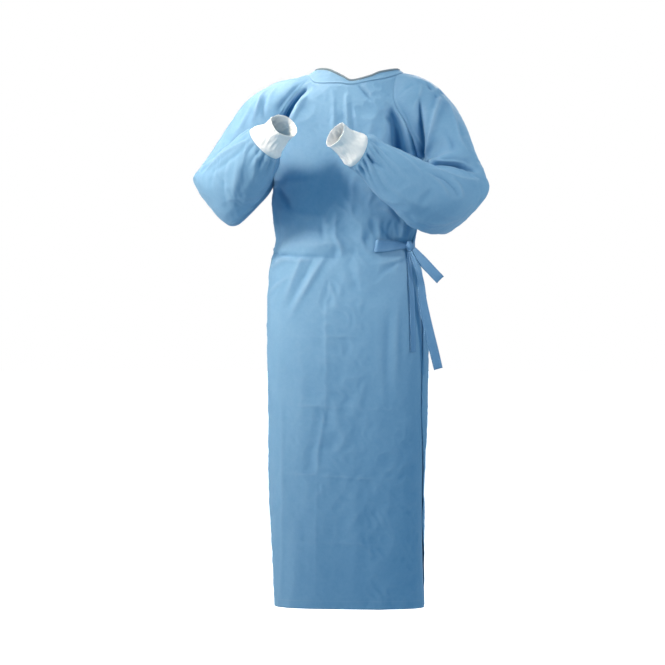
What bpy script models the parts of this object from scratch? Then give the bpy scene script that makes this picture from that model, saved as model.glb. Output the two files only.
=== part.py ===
"""Surgical gown in its worn pose: front, two wrapped backs, raglan sleeves, knit cuffs, neck binding, bow.

Metres, +Z up, the front of the gown faces -Y, the wearer's left is +X.
The origin lies between the shoulders, level with the side points of the neck.
"""
import math

import bpy
import numpy as np

# Cloth
CLOTH_WALL = 0.0015
KNIT_WALL = 0.0020
STRAP_WALL = 0.0018
SEAM_PULL = 0.00028
OVER_PANEL_LIFT = 0.0042

# Gathers where a sleeve meets its cuff
GATHER_COUNT = 16
GATHER_DEPTH = 0.0050

# Half of the part of the neck that each sleeve takes, degrees
SLEEVE_NECK_ANGLE = 14.0

# Mesh density
ARMPIT = 4
SHOULDER_ROWS = 9
SLEEVE_COLUMNS = 32
SLEEVE_NECK_STEPS = 8
FRONT_COLUMNS = 26
UNDER_PANEL_COLUMNS = 13
OVER_PANEL_COLUMNS = 24
BODY_ROWS = (4.35, 4.7, 5.0, 5.35, 5.7, 6.0, 6.25, 6.6, 7.0, 7.5, 8.0, 8.7, 9.3, 9.7, 10.2, 11.0)
SLEEVE_ROWS = (4.35, 4.75, 5.2, 5.6, 6.0, 6.35, 6.7, 7.0, 7.35, 7.7, 8.1, 8.6, 9.1, 9.6)
GATHER_ROWS = (10.0, 10.3, 10.55, 10.75, 10.9, 11.0)

# Sleeve sections from the neck (0) over the armpit (4) and the elbow to the cuff seam (11).
# crown: the outer point; hinge: midway between the seams, or the inner point of a closed section;
# front and back: reach of the section from its middle; open: half angle;
# front and back form: 2 is an ellipse, more is squarer, less is nearer to a straight line.
RIGHT_SLEEVE = (
    # first line: crown, hinge; second line: front reach, back reach, open, front form, back form
    (
        (-0.098, 0.000, -0.010), (-0.096, 0.002, -0.029),
        (-0.010, -0.042, -0.005), (0.010, 0.043, 0.005), 90, 2.0, 2.0,
    ),
    (
        (-0.172, 0.000, -0.030), (-0.140, 0.000, -0.073),
        (0.000, -0.086, -0.003), (0.000, 0.086, 0.003), 100, 2.0, 2.0,
    ),
    (
        (-0.238, 0.000, -0.069), (-0.167, 0.001, -0.128),
        (-0.002, -0.098, -0.003), (0.002, 0.096, 0.003), 115, 2.0, 2.0,
    ),
    (
        (-0.284, 0.000, -0.124), (-0.179, 0.002, -0.212),
        (-0.002, -0.090, -0.004), (0.002, 0.088, 0.004), 140, 2.0, 2.0,
    ),
    (
        (-0.319, 0.000, -0.182), (-0.184, 0.000, -0.273),
        (-0.004, -0.080, -0.004), (0.000, 0.076, 0.000), 180, 2.0, 2.0,
    ),
    (
        (-0.347, -0.006, -0.222), (-0.222, -0.010, -0.322),
        (0.008, -0.082, 0.027), (0.000, 0.072, 0.000), 180, 2.0, 2.1,
    ),
    (
        (-0.364, -0.018, -0.246), (-0.258, -0.025, -0.356),
        (0.027, -0.076, 0.044), (-0.004, 0.060, -0.008), 180, 2.0, 2.6,
    ),
    (
        (-0.366, -0.046, -0.252), (-0.276, -0.060, -0.362),
        (0.038, -0.050, 0.045), (-0.008, 0.040, -0.012), 180, 2.0, 2.9,
    ),
    (
        (-0.342, -0.096, -0.238), (-0.250, -0.112, -0.350),
        (0.034, -0.001, 0.038), (-0.026, -0.010, -0.026), 180, 2.0, 2.4,
    ),
    (
        (-0.298, -0.140, -0.208), (-0.208, -0.158, -0.310),
        (0.036, 0.031, 0.027), (-0.036, -0.030, -0.030), 180, 2.0, 2.1,
    ),
    (
        (-0.256, -0.186, -0.176), (-0.182, -0.208, -0.266),
        (0.036, 0.040, 0.020), (-0.034, -0.040, -0.020), 180, 2.0, 2.0,
    ),
    (
        (-0.222, -0.224, -0.161), (-0.170, -0.244, -0.229),
        (0.018, 0.036, 0.003), (-0.018, -0.036, -0.003), 180, 2.0, 2.0,
    ),
)
LEFT_SLEEVE = (
    # first line: crown, hinge; second line: front reach, back reach, open, front form, back form
    (
        (0.118, 0.000, -0.006), (0.098, 0.004, -0.019),
        (0.004, -0.046, -0.006), (-0.004, 0.046, 0.006), 90, 2.0, 2.0,
    ),
    (
        (0.180, 0.000, -0.026), (0.108, 0.000, -0.080),
        (-0.013, -0.088, -0.004), (0.010, 0.086, 0.004), 100, 2.0, 2.0,
    ),
    (
        (0.234, -0.006, -0.078), (0.134, 0.000, -0.134),
        (-0.012, -0.098, -0.004), (0.008, 0.094, 0.004), 115, 2.0, 2.0,
    ),
    (
        (0.266, -0.030, -0.142), (0.152, 0.000, -0.204),
        (-0.010, -0.100, 0.010), (0.004, 0.086, 0.004), 140, 2.0, 2.0,
    ),
    (
        (0.284, -0.070, -0.206), (0.162, 0.000, -0.276),
        (-0.016, -0.092, 0.040), (0.000, 0.072, 0.000), 180, 2.0, 2.0,
    ),
    (
        (0.296, -0.096, -0.238), (0.174, -0.020, -0.326),
        (-0.053, -0.092, 0.056), (0.004, 0.066, -0.007), 180, 1.9, 2.2,
    ),
    (
        (0.296, -0.116, -0.248), (0.184, -0.050, -0.354),
        (-0.076, -0.075, 0.065), (0.017, 0.049, -0.018), 180, 1.55, 3.0,
    ),
    (
        (0.292, -0.136, -0.262), (0.178, -0.090, -0.370),
        (-0.086, -0.055, 0.069), (0.028, 0.017, -0.032), 180, 1.35, 3.2,
    ),
    (
        (0.248, -0.198, -0.280), (0.130, -0.140, -0.356),
        (-0.054, -0.003, 0.066), (0.015, -0.030, -0.045), 180, 1.6, 2.6,
    ),
    (
        (0.180, -0.226, -0.252), (0.088, -0.180, -0.328),
        (-0.014, 0.030, 0.048), (0.006, -0.040, -0.044), 180, 1.9, 2.0,
    ),
    (
        (0.106, -0.228, -0.214), (0.040, -0.210, -0.290),
        (-0.010, 0.040, 0.024), (0.010, -0.040, -0.026), 180, 2.0, 2.0,
    ),
    (
        (0.016, -0.216, -0.176), (0.002, -0.262, -0.245),
        (-0.022, 0.024, -0.012), (0.022, -0.024, 0.012), 180, 2.0, 2.0,
    ),
)

# Body sections from the neck (0) over the armpits (4) and the waist (6) to the hem (11).
# Above the armpits the sides are the raglan seams, so only the middles and the arc are given.
BODY = (
    # right side            left side              front middle             back middle            arc  round
    (None, None, (-0.001, -0.080, -0.042), (0.012, 0.082, -0.031), 90, 2.0),
    (None, None, (-0.004, -0.106, -0.096), (0.004, 0.104, -0.090), 62, 2.0),
    (None, None, (-0.008, -0.122, -0.152), (-0.004, 0.116, -0.148), 64, 2.0),
    (None, None, (-0.010, -0.128, -0.214), (-0.008, 0.118, -0.212), 74, 2.0),
    ((-0.184, 0, -0.273), (0.162, 0, -0.276), (-0.012, -0.128, -0.274), (-0.012, 0.116, -0.274), 90, 2.1),
    ((-0.184, 0, -0.33), (0.163, 0, -0.33), (-0.012, -0.124, -0.33), (-0.012, 0.11, -0.33), 90, 2.2),
    ((-0.177, 0, -0.40), (0.141, -0.004, -0.405), (-0.014, -0.115, -0.402), (-0.014, 0.102, -0.402), 90, 2.3),
    ((-0.192, 0, -0.48), (0.158, -0.002, -0.48), (-0.014, -0.120, -0.48), (-0.014, 0.112, -0.48), 90, 2.4),
    ((-0.196, 0, -0.61), (0.172, 0, -0.61), (-0.012, -0.125, -0.61), (-0.012, 0.125, -0.61), 90, 2.5),
    ((-0.193, 0, -0.81), (0.168, 0, -0.81), (-0.012, -0.122, -0.81), (-0.012, 0.126, -0.81), 90, 2.6),
    ((-0.189, 0, -1.03), (0.162, 0, -1.03), (-0.012, -0.120, -1.03), (-0.012, 0.124, -1.03), 90, 2.6),
    ((-0.177, 0, -1.246), (0.167, 0, -1.249), (-0.006, -0.118, -1.240), (-0.006, 0.122, -1.246), 90, 2.6),
)

# Bow at the wearer's left waist
KNOT_PLACE = (0.131, -0.0765, -0.4135)
KNOT_SIZE = (0.0085, 0.0080, 0.0110)

# Straps: centre points and half-width vectors, from the knot outwards.
LOOP_LEFT = (
    # centre                   half width
    ((0.1232, -0.0795, -0.4130), (0.000, 0.000, 0.0045)),
    ((0.1130, -0.0885, -0.4135), (0.000, 0.000, 0.0075)),
    ((0.0950, -0.1012, -0.4140), (0.000, 0.000, 0.0110)),
    ((0.0750, -0.1110, -0.4150), (0.001, 0.001, 0.0130)),
    ((0.0580, -0.1180, -0.4155), (0.002, 0.001, 0.0140)),
    ((0.0530, -0.1170, -0.4155), (0.002, 0.001, 0.0140)),
    ((0.0540, -0.1130, -0.4155), (0.002, 0.001, 0.0140)),
    ((0.0750, -0.1065, -0.4150), (0.001, 0.001, 0.0130)),
    ((0.0950, -0.0972, -0.4140), (0.000, 0.000, 0.0110)),
    ((0.1100, -0.0860, -0.4130), (0.000, 0.000, 0.0075)),
    ((0.1190, -0.0772, -0.4125), (0.000, 0.000, 0.0045)),
)
LOOP_RIGHT = (
    # centre                   half width
    ((0.1410, -0.0785, -0.4190), (0.0028, 0.000, 0.0028)),
    ((0.1490, -0.0815, -0.4310), (0.0055, 0.001, 0.0050)),
    ((0.1625, -0.0855, -0.4490), (0.0075, 0.001, 0.0075)),
    ((0.1840, -0.0850, -0.4730), (0.0080, 0.001, 0.0078)),
    ((0.1985, -0.0815, -0.4880), (0.0080, 0.001, 0.0078)),
    ((0.2015, -0.0775, -0.4910), (0.0080, 0.001, 0.0078)),
    ((0.1975, -0.0745, -0.4870), (0.0080, 0.001, 0.0078)),
    ((0.1830, -0.0780, -0.4720), (0.0080, 0.001, 0.0078)),
    ((0.1620, -0.0795, -0.4500), (0.0075, 0.001, 0.0075)),
    ((0.1495, -0.0760, -0.4315), (0.0055, 0.001, 0.0050)),
    ((0.1425, -0.0730, -0.4215), (0.0028, 0.000, 0.0028)),
)
TAIL_LONG = (
    # centre                   half width
    ((0.1335, -0.0800, -0.4250), (0.0035, 0.000, 0.0000)),
    ((0.1400, -0.0870, -0.4440), (0.0045, 0.001, 0.0012)),
    ((0.1520, -0.0890, -0.4750), (0.0060, 0.002, 0.0015)),
    ((0.1575, -0.0820, -0.5050), (0.0085, 0.003, 0.0015)),
    ((0.1605, -0.0820, -0.5360), (0.0095, 0.003, 0.0015)),
    ((0.1680, -0.0810, -0.5760), (0.0105, 0.003, 0.0020)),
    ((0.1770, -0.0790, -0.6160), (0.0110, 0.002, 0.0025)),
    ((0.1875, -0.0770, -0.6560), (0.0105, 0.002, 0.0028)),
    ((0.1970, -0.0750, -0.6950), (0.0100, 0.002, 0.0028)),
)
TAIL_MIDDLE = (
    # centre                   half width
    ((0.1275, -0.0755, -0.4250), (0.0030, 0.0000, 0.0000)),
    ((0.1305, -0.0790, -0.4500), (0.0046, 0.0020, 0.0000)),
    ((0.1340, -0.0855, -0.4950), (0.0058, 0.0050, 0.0000)),
    ((0.1365, -0.0885, -0.5350), (0.0062, 0.0055, 0.0000)),
    ((0.1380, -0.0900, -0.5800), (0.0065, 0.0055, 0.0000)),
    ((0.1390, -0.0915, -0.6250), (0.0065, 0.0055, 0.0000)),
    ((0.1390, -0.0912, -0.6560), (0.0060, 0.0055, 0.0000)),
)
BELT_BACK = (
    # centre                   half width
    ((0.1447, -0.0400, -0.4105), (0.0008, 0.000, -0.0095)),
    ((0.1427, -0.0500, -0.4115), (0.0005, 0.000, -0.0080)),
    ((0.1404, -0.0600, -0.4120), (0.0000, 0.000, -0.0065)),
    ((0.1380, -0.0709, -0.4125), (0.0000, 0.000, -0.0055)),
)
STRAPS = (
    ("tie_loop_left", LOOP_LEFT),
    ("tie_loop_right", LOOP_RIGHT),
    ("tie_tail_long", TAIL_LONG),
    ("tie_tail_middle", TAIL_MIDDLE),
    ("belt_back", BELT_BACK),
)

# Free edge of each back panel, degrees round the body from the middle of the front, a value per section.
# one value per section, neck to hem
UNDER_PANEL_EDGE = (200, 200, 200, 201, 202, 203, 204, 205, 206, 207, 208, 208)
OVER_PANEL_EDGE = (-205, -209, -214, -220, -228, -254, -286, -292, -294, -291, -272, -264)

# Neck binding: angle round the neck, its upper edge and its lower edge.
BINDING = (
    # angle  upper edge                 lower edge
    (0, (-0.001, -0.072, -0.033), (-0.001, -0.080, -0.042)),
    (30, (0.038, -0.066, -0.023), (0.041, -0.074, -0.033)),
    (60, (0.066, -0.050, -0.0105), (0.073, -0.060, -0.026)),
    (90, (0.107, 0.000, 0.001), (0.118, 0.000, -0.006)),
    (135, (0.075, 0.052, -0.010), (0.086, 0.060, -0.017)),
    (180, (0.012, 0.072, -0.020), (0.012, 0.082, -0.031)),
    (225, (-0.055, 0.052, -0.010), (-0.068, 0.058, -0.018)),
    (270, (-0.082, 0.000, -0.001), (-0.098, 0.000, -0.010)),
    (300, (-0.0535, -0.045, -0.0056), (-0.085, -0.058, -0.036)),
    (330, (-0.0224, -0.065, -0.0226), (-0.032, -0.078, -0.039)),
)

# Largest folds of the front: start, end (x, z), half width, rise (minus is a hollow).
FRONT_FOLDS = (
    # start x, z       end x, z       width   rise
    (-0.190, -0.415, -0.060, -0.425, 0.010, -0.0040),
    (-0.055, -0.490, -0.058, -0.560, 0.010, 0.0030),
    (-0.188, -0.452, -0.120, -0.428, 0.012, 0.0040),
    (-0.190, -0.560, -0.100, -0.450, 0.014, 0.0040),
    (-0.150, -0.580, -0.066, -0.440, 0.012, 0.0030),
    (0.122, -0.395, 0.148, -0.352, 0.009, 0.0045),
    (0.110, -0.392, 0.122, -0.335, 0.008, 0.0040),
    (0.100, -0.105, 0.130, -0.210, 0.015, -0.0070),
    (-0.157, -0.120, -0.170, -0.230, 0.012, -0.0050),
)
# Folds of the sleeves: start, end (row, column from -1 front seam over 0 crown to 1), half width, rise.
RIGHT_SLEEVE_FOLDS = (
    # row    column  row   column width  rise
    (0.6, -0.90, 2.2, -0.82, 0.014, -0.006),
    (1.4, -0.10, 3.4, -0.45, 0.017, 0.006),
)
LEFT_SLEEVE_FOLDS = (
    # row    column  row   column width  rise
    (1.2, -0.64, 3.3, -0.93, 0.011, -0.009),
    (1.3, -0.40, 3.2, -0.80, 0.011, 0.007),
    (6.1, -0.44, 6.5, -0.14, 0.011, -0.007),
    (7.3, -0.50, 7.7, -0.22, 0.010, 0.004),
)

# Cuff profile: share of the length, size against the seam ring, roundness of the flatter side.
CUFF_PROFILE = (
    # share  size  squash
    (0.00, 1.00, 1.00),
    (0.15, 0.98, 1.00),
    (0.32, 0.87, 1.02),
    (0.50, 0.74, 1.06),
    (0.72, 0.68, 1.08),
    (1.00, 0.71, 1.06),
)

# From the middle of the cuff seam to the middle of the mouth
RIGHT_CUFF_AXIS = (0.045, -0.022, 0.038)
LEFT_CUFF_AXIS = (-0.049, -0.030, 0.031)

BLUE = (0.285, 0.490, 0.690)
STRAP_BLUE = (0.230, 0.450, 0.690)
KNIT_WHITE = (0.900, 0.915, 0.920)
BINDING_BLUE = (0.400, 0.560, 0.700)


def unit(vectors):
    """Vectors scaled to length one."""
    length = np.linalg.norm(vectors, axis=-1, keepdims=True)
    return vectors / np.maximum(length, 1e-12)


def spline(rows, at):
    """Catmull-Rom curve through rows that are one apart, read at any row number."""
    rows = np.asarray(rows, float)
    at = np.clip(np.asarray(at, float), 0, len(rows) - 1)
    low = np.minimum(at.astype(int), len(rows) - 2)
    part = (at - low).reshape(at.shape + (1,) * (rows.ndim - 1))
    before = rows[np.maximum(low - 1, 0)]
    start = rows[low]
    end = rows[low + 1]
    after = rows[np.minimum(low + 2, len(rows) - 1)]
    slope_in = (end - before) / 2
    slope_out = (after - start) / 2
    square = part * part
    cube = square * part
    return (
        (2 * cube - 3 * square + 1) * start
        + (cube - 2 * square + part) * slope_in
        + (3 * square - 2 * cube) * end
        + (cube - square) * slope_out
    )


def ring_spline(angles, values, at):
    """Periodic Catmull-Rom curve through values at the given angles, read at any angle in degrees."""
    count = len(angles)
    at = np.mod(np.asarray(at, float), 360.0)
    knots = np.append(np.asarray(angles, float), 360.0)
    low = np.clip(np.searchsorted(knots, at, side="right") - 1, 0, count - 1)
    part = ((at - knots[low]) / (knots[low + 1] - knots[low]))[..., None]
    values = np.asarray(values, float)
    before = values[(low - 1) % count]
    start = values[low]
    end = values[(low + 1) % count]
    after = values[(low + 2) % count]
    square = part * part
    cube = square * part
    return (
        (2 * cube - 3 * square + 1) * start
        + (cube - 2 * square + part) * (end - before) / 2
        + (3 * square - 2 * cube) * end
        + (cube - square) * (after - start) / 2
    )


def signed_power(value, power):
    """A power that keeps the sign."""
    return np.sign(value) * np.abs(value) ** power


def sleeve_surface(table, row, column):
    """Point of a sleeve: row along the table, column from -1 (front) over 0 (crown) to 1 (back)."""
    row, column = np.broadcast_arrays(np.asarray(row, float), np.asarray(column, float))
    crown = spline([line[0] for line in table], row)
    hinge = spline([line[1] for line in table], row)
    front = spline([line[2] for line in table], row)
    back = spline([line[3] for line in table], row)
    opening = np.radians(np.clip(spline([line[4] for line in table], row), 60, 180))
    front_form = spline([line[5] for line in table], row)
    back_form = spline([line[6] for line in table], row)
    power = 2 / np.where(column < 0, front_form, back_form)
    opening = np.where(row >= ARMPIT, math.pi, opening)
    along = (crown - hinge) / (1 - np.cos(opening))[..., None]
    middle = crown - along
    angle = column * opening
    reach = np.where((column < 0)[..., None], front, back)
    lift = signed_power(np.cos(angle), power)[..., None]
    side = np.abs(signed_power(np.sin(np.abs(angle)), power))[..., None]
    return middle + lift * along + side * reach


def sleeve_points(table, row, column):
    """Point of a sleeve whose top row follows the lower edge of the neck binding."""
    row, column = np.broadcast_arrays(np.asarray(row, float), np.asarray(column, float))
    turn = 90.0 + SLEEVE_NECK_ANGLE * column if table is LEFT_SLEEVE else 270.0 - SLEEVE_NECK_ANGLE * column
    fade = np.clip(1 - row / 2.2, 0, 1)[..., None] ** 1.5
    shift = binding_edges(turn)[1] - sleeve_surface(table, np.zeros_like(row), column)
    return sleeve_surface(table, row, column) + fade * shift


def body_surface(row, angle, from_back=False):
    """Point of the body: row from neck to hem, angle in degrees from the middle of the front to +X.

    At the sides the two raglan seams of a sleeve lie apart; from_back takes the rear one.
    """
    row, angle = np.broadcast_arrays(np.asarray(row, float), np.asarray(angle, float))
    turned = np.mod(angle + 90.0, 360.0) - 90.0
    if from_back:
        turned = np.where(turned <= -90.0, turned + 360.0, turned)
    is_front = turned < 90.0 if from_back else turned <= 90.0
    local = np.where(is_front, turned, 180.0 - turned)
    upper = row < ARMPIT
    seam_row = np.minimum(row, ARMPIT)
    right_front = sleeve_points(RIGHT_SLEEVE, seam_row, -1.0)
    right_back = sleeve_points(RIGHT_SLEEVE, seam_row, 1.0)
    left_front = sleeve_points(LEFT_SLEEVE, seam_row, -1.0)
    left_back = sleeve_points(LEFT_SLEEVE, seam_row, 1.0)
    low_row = np.maximum(row, ARMPIT)
    low_right = spline([line[0] or BODY[ARMPIT][0] for line in BODY], low_row)
    low_left = spline([line[1] or BODY[ARMPIT][1] for line in BODY], low_row)
    front = is_front[..., None]
    right = np.where(upper[..., None], np.where(front, right_front, right_back), low_right)
    left = np.where(upper[..., None], np.where(front, left_front, left_back), low_left)
    front_middle = spline([line[2] for line in BODY], row)
    back_middle = spline([line[3] for line in BODY], row)
    centre = np.where(front, front_middle, back_middle)
    arc = np.radians(np.where(upper, spline([line[4] for line in BODY], row), 90.0))
    power = 2 / np.where(upper, 2.0, spline([line[5] for line in BODY], row))
    turn = local / 90.0 * arc
    across = signed_power(np.sin(turn) / np.sin(arc), power)[..., None]
    swell = (np.maximum(np.cos(turn) - np.cos(arc), 0.0) / (1 - np.cos(arc))) ** power
    middle = (right + left) / 2
    return middle + across * (left - right) / 2 + swell[..., None] * (centre - middle)


def binding_edges(angle):
    """Upper and lower edge of the neck binding at an angle round the neck."""
    angles = [line[0] for line in BINDING]
    upper = ring_spline(angles, [line[1] for line in BINDING], angle)
    lower = ring_spline(angles, [line[2] for line in BINDING], angle)
    return upper, lower


def over_panel_lift(angle):
    """How far the over panel stands off the panel below it, by its angle (negative, to the right)."""
    share = np.clip((-np.asarray(angle, float) - 105.0) / 45.0, 0.0, 1.0)
    return OVER_PANEL_LIFT * share * share * (3 - 2 * share)


def fold_height(folds, first, second, scale_first=1.0, scale_second=1.0):
    """Height of the folds at two surface coordinates, as soft ridges that die out at both ends."""
    height = np.zeros(np.shape(first))
    for start_a, start_b, end_a, end_b, width, rise in folds:
        run = np.array([(end_a - start_a) * scale_first, (end_b - start_b) * scale_second])
        length = math.hypot(run[0], run[1])
        offset_a = (first - start_a) * scale_first
        offset_b = (second - start_b) * scale_second
        along = (offset_a * run[0] + offset_b * run[1]) / length
        away = (offset_a * run[1] - offset_b * run[0]) / length
        share = np.clip(along / length, 0.0, 1.0)
        outside = along - share * length
        distance = away * away + outside * outside
        height += rise * np.exp(-distance / (width * width)) * (0.35 + 0.65 * np.sin(math.pi * share))
    return height


def grid_normals(points, closed, flip):
    """Unit normals of a grid; closed rows join their first and last column."""
    down = np.gradient(points, axis=0)
    across = np.gradient(points, axis=1)
    wrap = (points[:, 1] - points[:, -2]) / 2
    across[closed, 0] = wrap[closed]
    across[closed, -1] = wrap[closed]
    normal = unit(np.cross(down, across))
    return -normal if flip else normal


class Sheet:
    """One piece of cloth: its outer grid, its normals and the rows that close into a ring."""

    def __init__(self, points, flip=False, closed_from=None):
        self.points = np.array(points)
        self.flip = flip
        self.closed = np.zeros(len(points), bool)
        if closed_from is not None:
            self.closed[closed_from:] = True
        self.normals = grid_normals(self.points, self.closed, flip)
        self.relief = np.zeros(self.points.shape[:2])

    def calm_normals(self, passes=2):
        """Even out the normals, so that the inner wall stays plain under sharp folds."""
        for _ in range(passes):
            mean = self.normals.copy()
            mean[1:-1] += 0.5 * (self.normals[:-2] + self.normals[2:])
            mean[:, 1:-1] += 0.5 * (self.normals[:, :-2] + self.normals[:, 2:])
            ends = 0.5 * (self.normals[:, 1] + self.normals[:, -2])
            mean[self.closed, 0] += ends[self.closed]
            mean[self.closed, -1] += ends[self.closed]
            self.normals = unit(mean)

    def pull_back(self, rows, column, row_step, column_step):
        """Move edge points half a seam gap into the piece, towards the neighbours in the given step."""
        source = self.points.copy()
        for row in rows:
            way = source[row + row_step, column + column_step] - source[row, column]
            length = np.linalg.norm(way)
            self.points[row, column] = source[row, column] + way * min(SEAM_PULL / length, 0.4)

    def pull_row(self, row, step):
        """Move a whole edge row half a seam gap into the piece."""
        for column in range(self.points.shape[1]):
            way = self.points[row + step, column] - self.points[row, column]
            length = np.linalg.norm(way)
            self.points[row, column] += way * min(SEAM_PULL / length, 0.4)


def share_normals(groups):
    """Give every group of (sheet, row, column) points one mean normal, so that the walls meet in a mitre."""
    for group in groups:
        mean = unit(sum(sheet.normals[row, column] for sheet, row, column in group))
        for sheet, row, column in group:
            sheet.normals[row, column] = mean


def make_object(name, vertices, faces, colour, roughness=0.75, smooth=True):
    """A mesh object with its own material."""
    mesh = bpy.data.meshes.new(name)
    mesh.from_pydata([tuple(vertex) for vertex in vertices], [], faces)
    mesh.update()
    if smooth:
        mesh.polygons.foreach_set("use_smooth", [True] * len(mesh.polygons))
    material = bpy.data.materials.new(name)
    material.use_nodes = True
    shader = material.node_tree.nodes["Principled BSDF"]
    shader.inputs["Base Color"].default_value = (*colour, 1.0)
    shader.inputs["Roughness"].default_value = roughness
    mesh.materials.append(material)
    thing = bpy.data.objects.new(name, mesh)
    bpy.context.scene.collection.objects.link(thing)
    return thing


def build_sheet(name, sheet, wall, colour):
    """Close a sheet into one solid: outer wall, inner wall and the edges between them."""
    outer = sheet.points + sheet.normals * sheet.relief[..., None]
    inner = sheet.points - sheet.normals * wall
    rows, columns = outer.shape[:2]
    index = np.full((2, rows, columns), -1)
    vertices = []
    for side, grid in enumerate((outer, inner)):
        for row in range(rows):
            for column in range(columns):
                if sheet.closed[row] and column == columns - 1:
                    index[side, row, column] = index[side, row, 0]
                    continue
                index[side, row, column] = len(vertices)
                vertices.append(grid[row, column])
    faces = []

    def quad(a, b, c, d):
        """Two triangles, split the same way in both walls."""
        for corners in ((a, b, c), (a, c, d)):
            faces.append(corners[::-1] if sheet.flip else corners)

    def mirrored_quad(a, b, c, d):
        """The same two triangles, facing the other way."""
        for corners in ((c, b, a), (d, c, a)):
            faces.append(corners[::-1] if sheet.flip else corners)

    for row in range(rows - 1):
        for column in range(columns - 1):
            a, b = index[0, row, column], index[0, row + 1, column]
            c, d = index[0, row + 1, column + 1], index[0, row, column + 1]
            quad(a, b, c, d)
            a, b = index[1, row, column], index[1, row + 1, column]
            c, d = index[1, row + 1, column + 1], index[1, row, column + 1]
            mirrored_quad(a, b, c, d)
    for column in range(columns - 1):
        after = column + 1
        end = rows - 1
        quad(index[0, 0, column], index[0, 0, after], index[1, 0, after], index[1, 0, column])
        quad(index[1, end, column], index[1, end, after], index[0, end, after], index[0, end, column])
    for row in range(rows - 1):
        if sheet.closed[row]:
            continue
        quad(index[1, row, 0], index[1, row + 1, 0], index[0, row + 1, 0], index[0, row, 0])
        end = columns - 1
        quad(index[0, row, end], index[0, row + 1, end], index[1, row + 1, end], index[1, row, end])
    return make_object(name, vertices, faces, colour)


def sleeve_sheet(table, folds, flip):
    """A sleeve: open rows over the shoulder, closed rows below the armpit, gathers at the cuff."""
    upper = np.linspace(0, ARMPIT, SHOULDER_ROWS + 1)
    rows = np.concatenate([upper, SLEEVE_ROWS, GATHER_ROWS])
    columns = np.linspace(-1, 1, SLEEVE_COLUMNS + 1)
    grid_row, grid_column = np.meshgrid(rows, columns, indexing="ij")
    points = sleeve_points(table, grid_row, grid_column)
    sheet = Sheet(points, flip=flip, closed_from=SHOULDER_ROWS)
    height = fold_height(folds, grid_row, grid_column, 0.045, 0.22)
    from_seam = np.clip((1 - np.abs(grid_column)) / 0.14, 0, 1)
    below = np.clip((grid_row - 4.4) / 0.6, 0, 1)
    height *= from_seam + (1 - from_seam) * below
    sheet.points = sheet.points + sheet.normals * height[..., None]
    sheet.normals = grid_normals(sheet.points, sheet.closed, flip)
    sheet.rows = rows
    sheet.columns = columns
    return sheet


def body_rows():
    """Row numbers of the body panels, the same as the sleeves' above the armpits."""
    return np.concatenate([np.linspace(0, ARMPIT, SHOULDER_ROWS + 1), BODY_ROWS])


def front_sheet():
    """The front panel, from raglan seam to raglan seam and down between the side seams."""
    rows = body_rows()
    columns = np.linspace(-90, 90, FRONT_COLUMNS + 1)
    grid_row, grid_angle = np.meshgrid(rows, columns, indexing="ij")
    points = body_surface(grid_row, grid_angle)
    limit = 90.0 - SLEEVE_NECK_ANGLE
    neck = binding_edges(np.linspace(-limit, limit, FRONT_COLUMNS + 1))[1]
    fade = np.clip(1 - rows / 2.2, 0, 1)[:, None, None] ** 1.5
    points = points + fade * (neck - points[0])[None]
    sheet = Sheet(points)
    edge = np.minimum(1.0, (90.0 - np.abs(grid_angle)) / 12.0)
    height = fold_height(FRONT_FOLDS, points[..., 0], points[..., 2]) * edge
    sheet.points = points + sheet.normals * height[..., None]
    sheet.normals = grid_normals(sheet.points, sheet.closed, False)
    return sheet


def back_sheet(edges, seam_angle, count, lift):
    """A back panel from its side seam to its free edge, a free-edge angle per section."""
    rows = body_rows()
    edge = spline(np.array(edges, float), rows)
    share = np.linspace(0, 1, count + 1)
    grid_row = np.repeat(rows[:, None], count + 1, axis=1)
    grid_angle = seam_angle + (edge[:, None] - seam_angle) * share[None]
    points = body_surface(grid_row, grid_angle, True)
    start = math.copysign(90.0 + SLEEVE_NECK_ANGLE, seam_angle)
    neck = binding_edges(start + (edge[0] - start) * share)[1]
    fade = np.clip(1 - rows / 2.2, 0, 1)[:, None, None] ** 1.5
    points = points + fade * (neck - points[0])[None]
    if seam_angle < 0:
        points = points[:, ::-1]
        grid_angle = grid_angle[:, ::-1]
    sheet = Sheet(points)
    if lift:
        sheet.points = points + sheet.normals * over_panel_lift(grid_angle)[..., None]
        sheet.normals = grid_normals(sheet.points, sheet.closed, False)
    return sheet


def seam_groups(front, under, over, sleeve_right, sleeve_left):
    """Points of different pieces that lie on one seam.

    At the armpit corner body and sleeve hang back to back, so there each keeps its own normal.
    """
    groups = []
    armpit = SHOULDER_ROWS
    for row in range(armpit):
        groups.append([(front, row, 0), (sleeve_right, row, 0)])
        groups.append([(front, row, -1), (sleeve_left, row, 0)])
        groups.append([(over, row, -1), (sleeve_right, row, -1)])
        groups.append([(under, row, 0), (sleeve_left, row, -1)])
    for sleeve in (sleeve_right, sleeve_left):
        groups.append([(sleeve, armpit, 0), (sleeve, armpit, -1)])
    for row in range(armpit, len(front.points)):
        groups.append([(front, row, 0), (over, row, -1)])
        groups.append([(front, row, -1), (under, row, 0)])
    return groups


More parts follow.
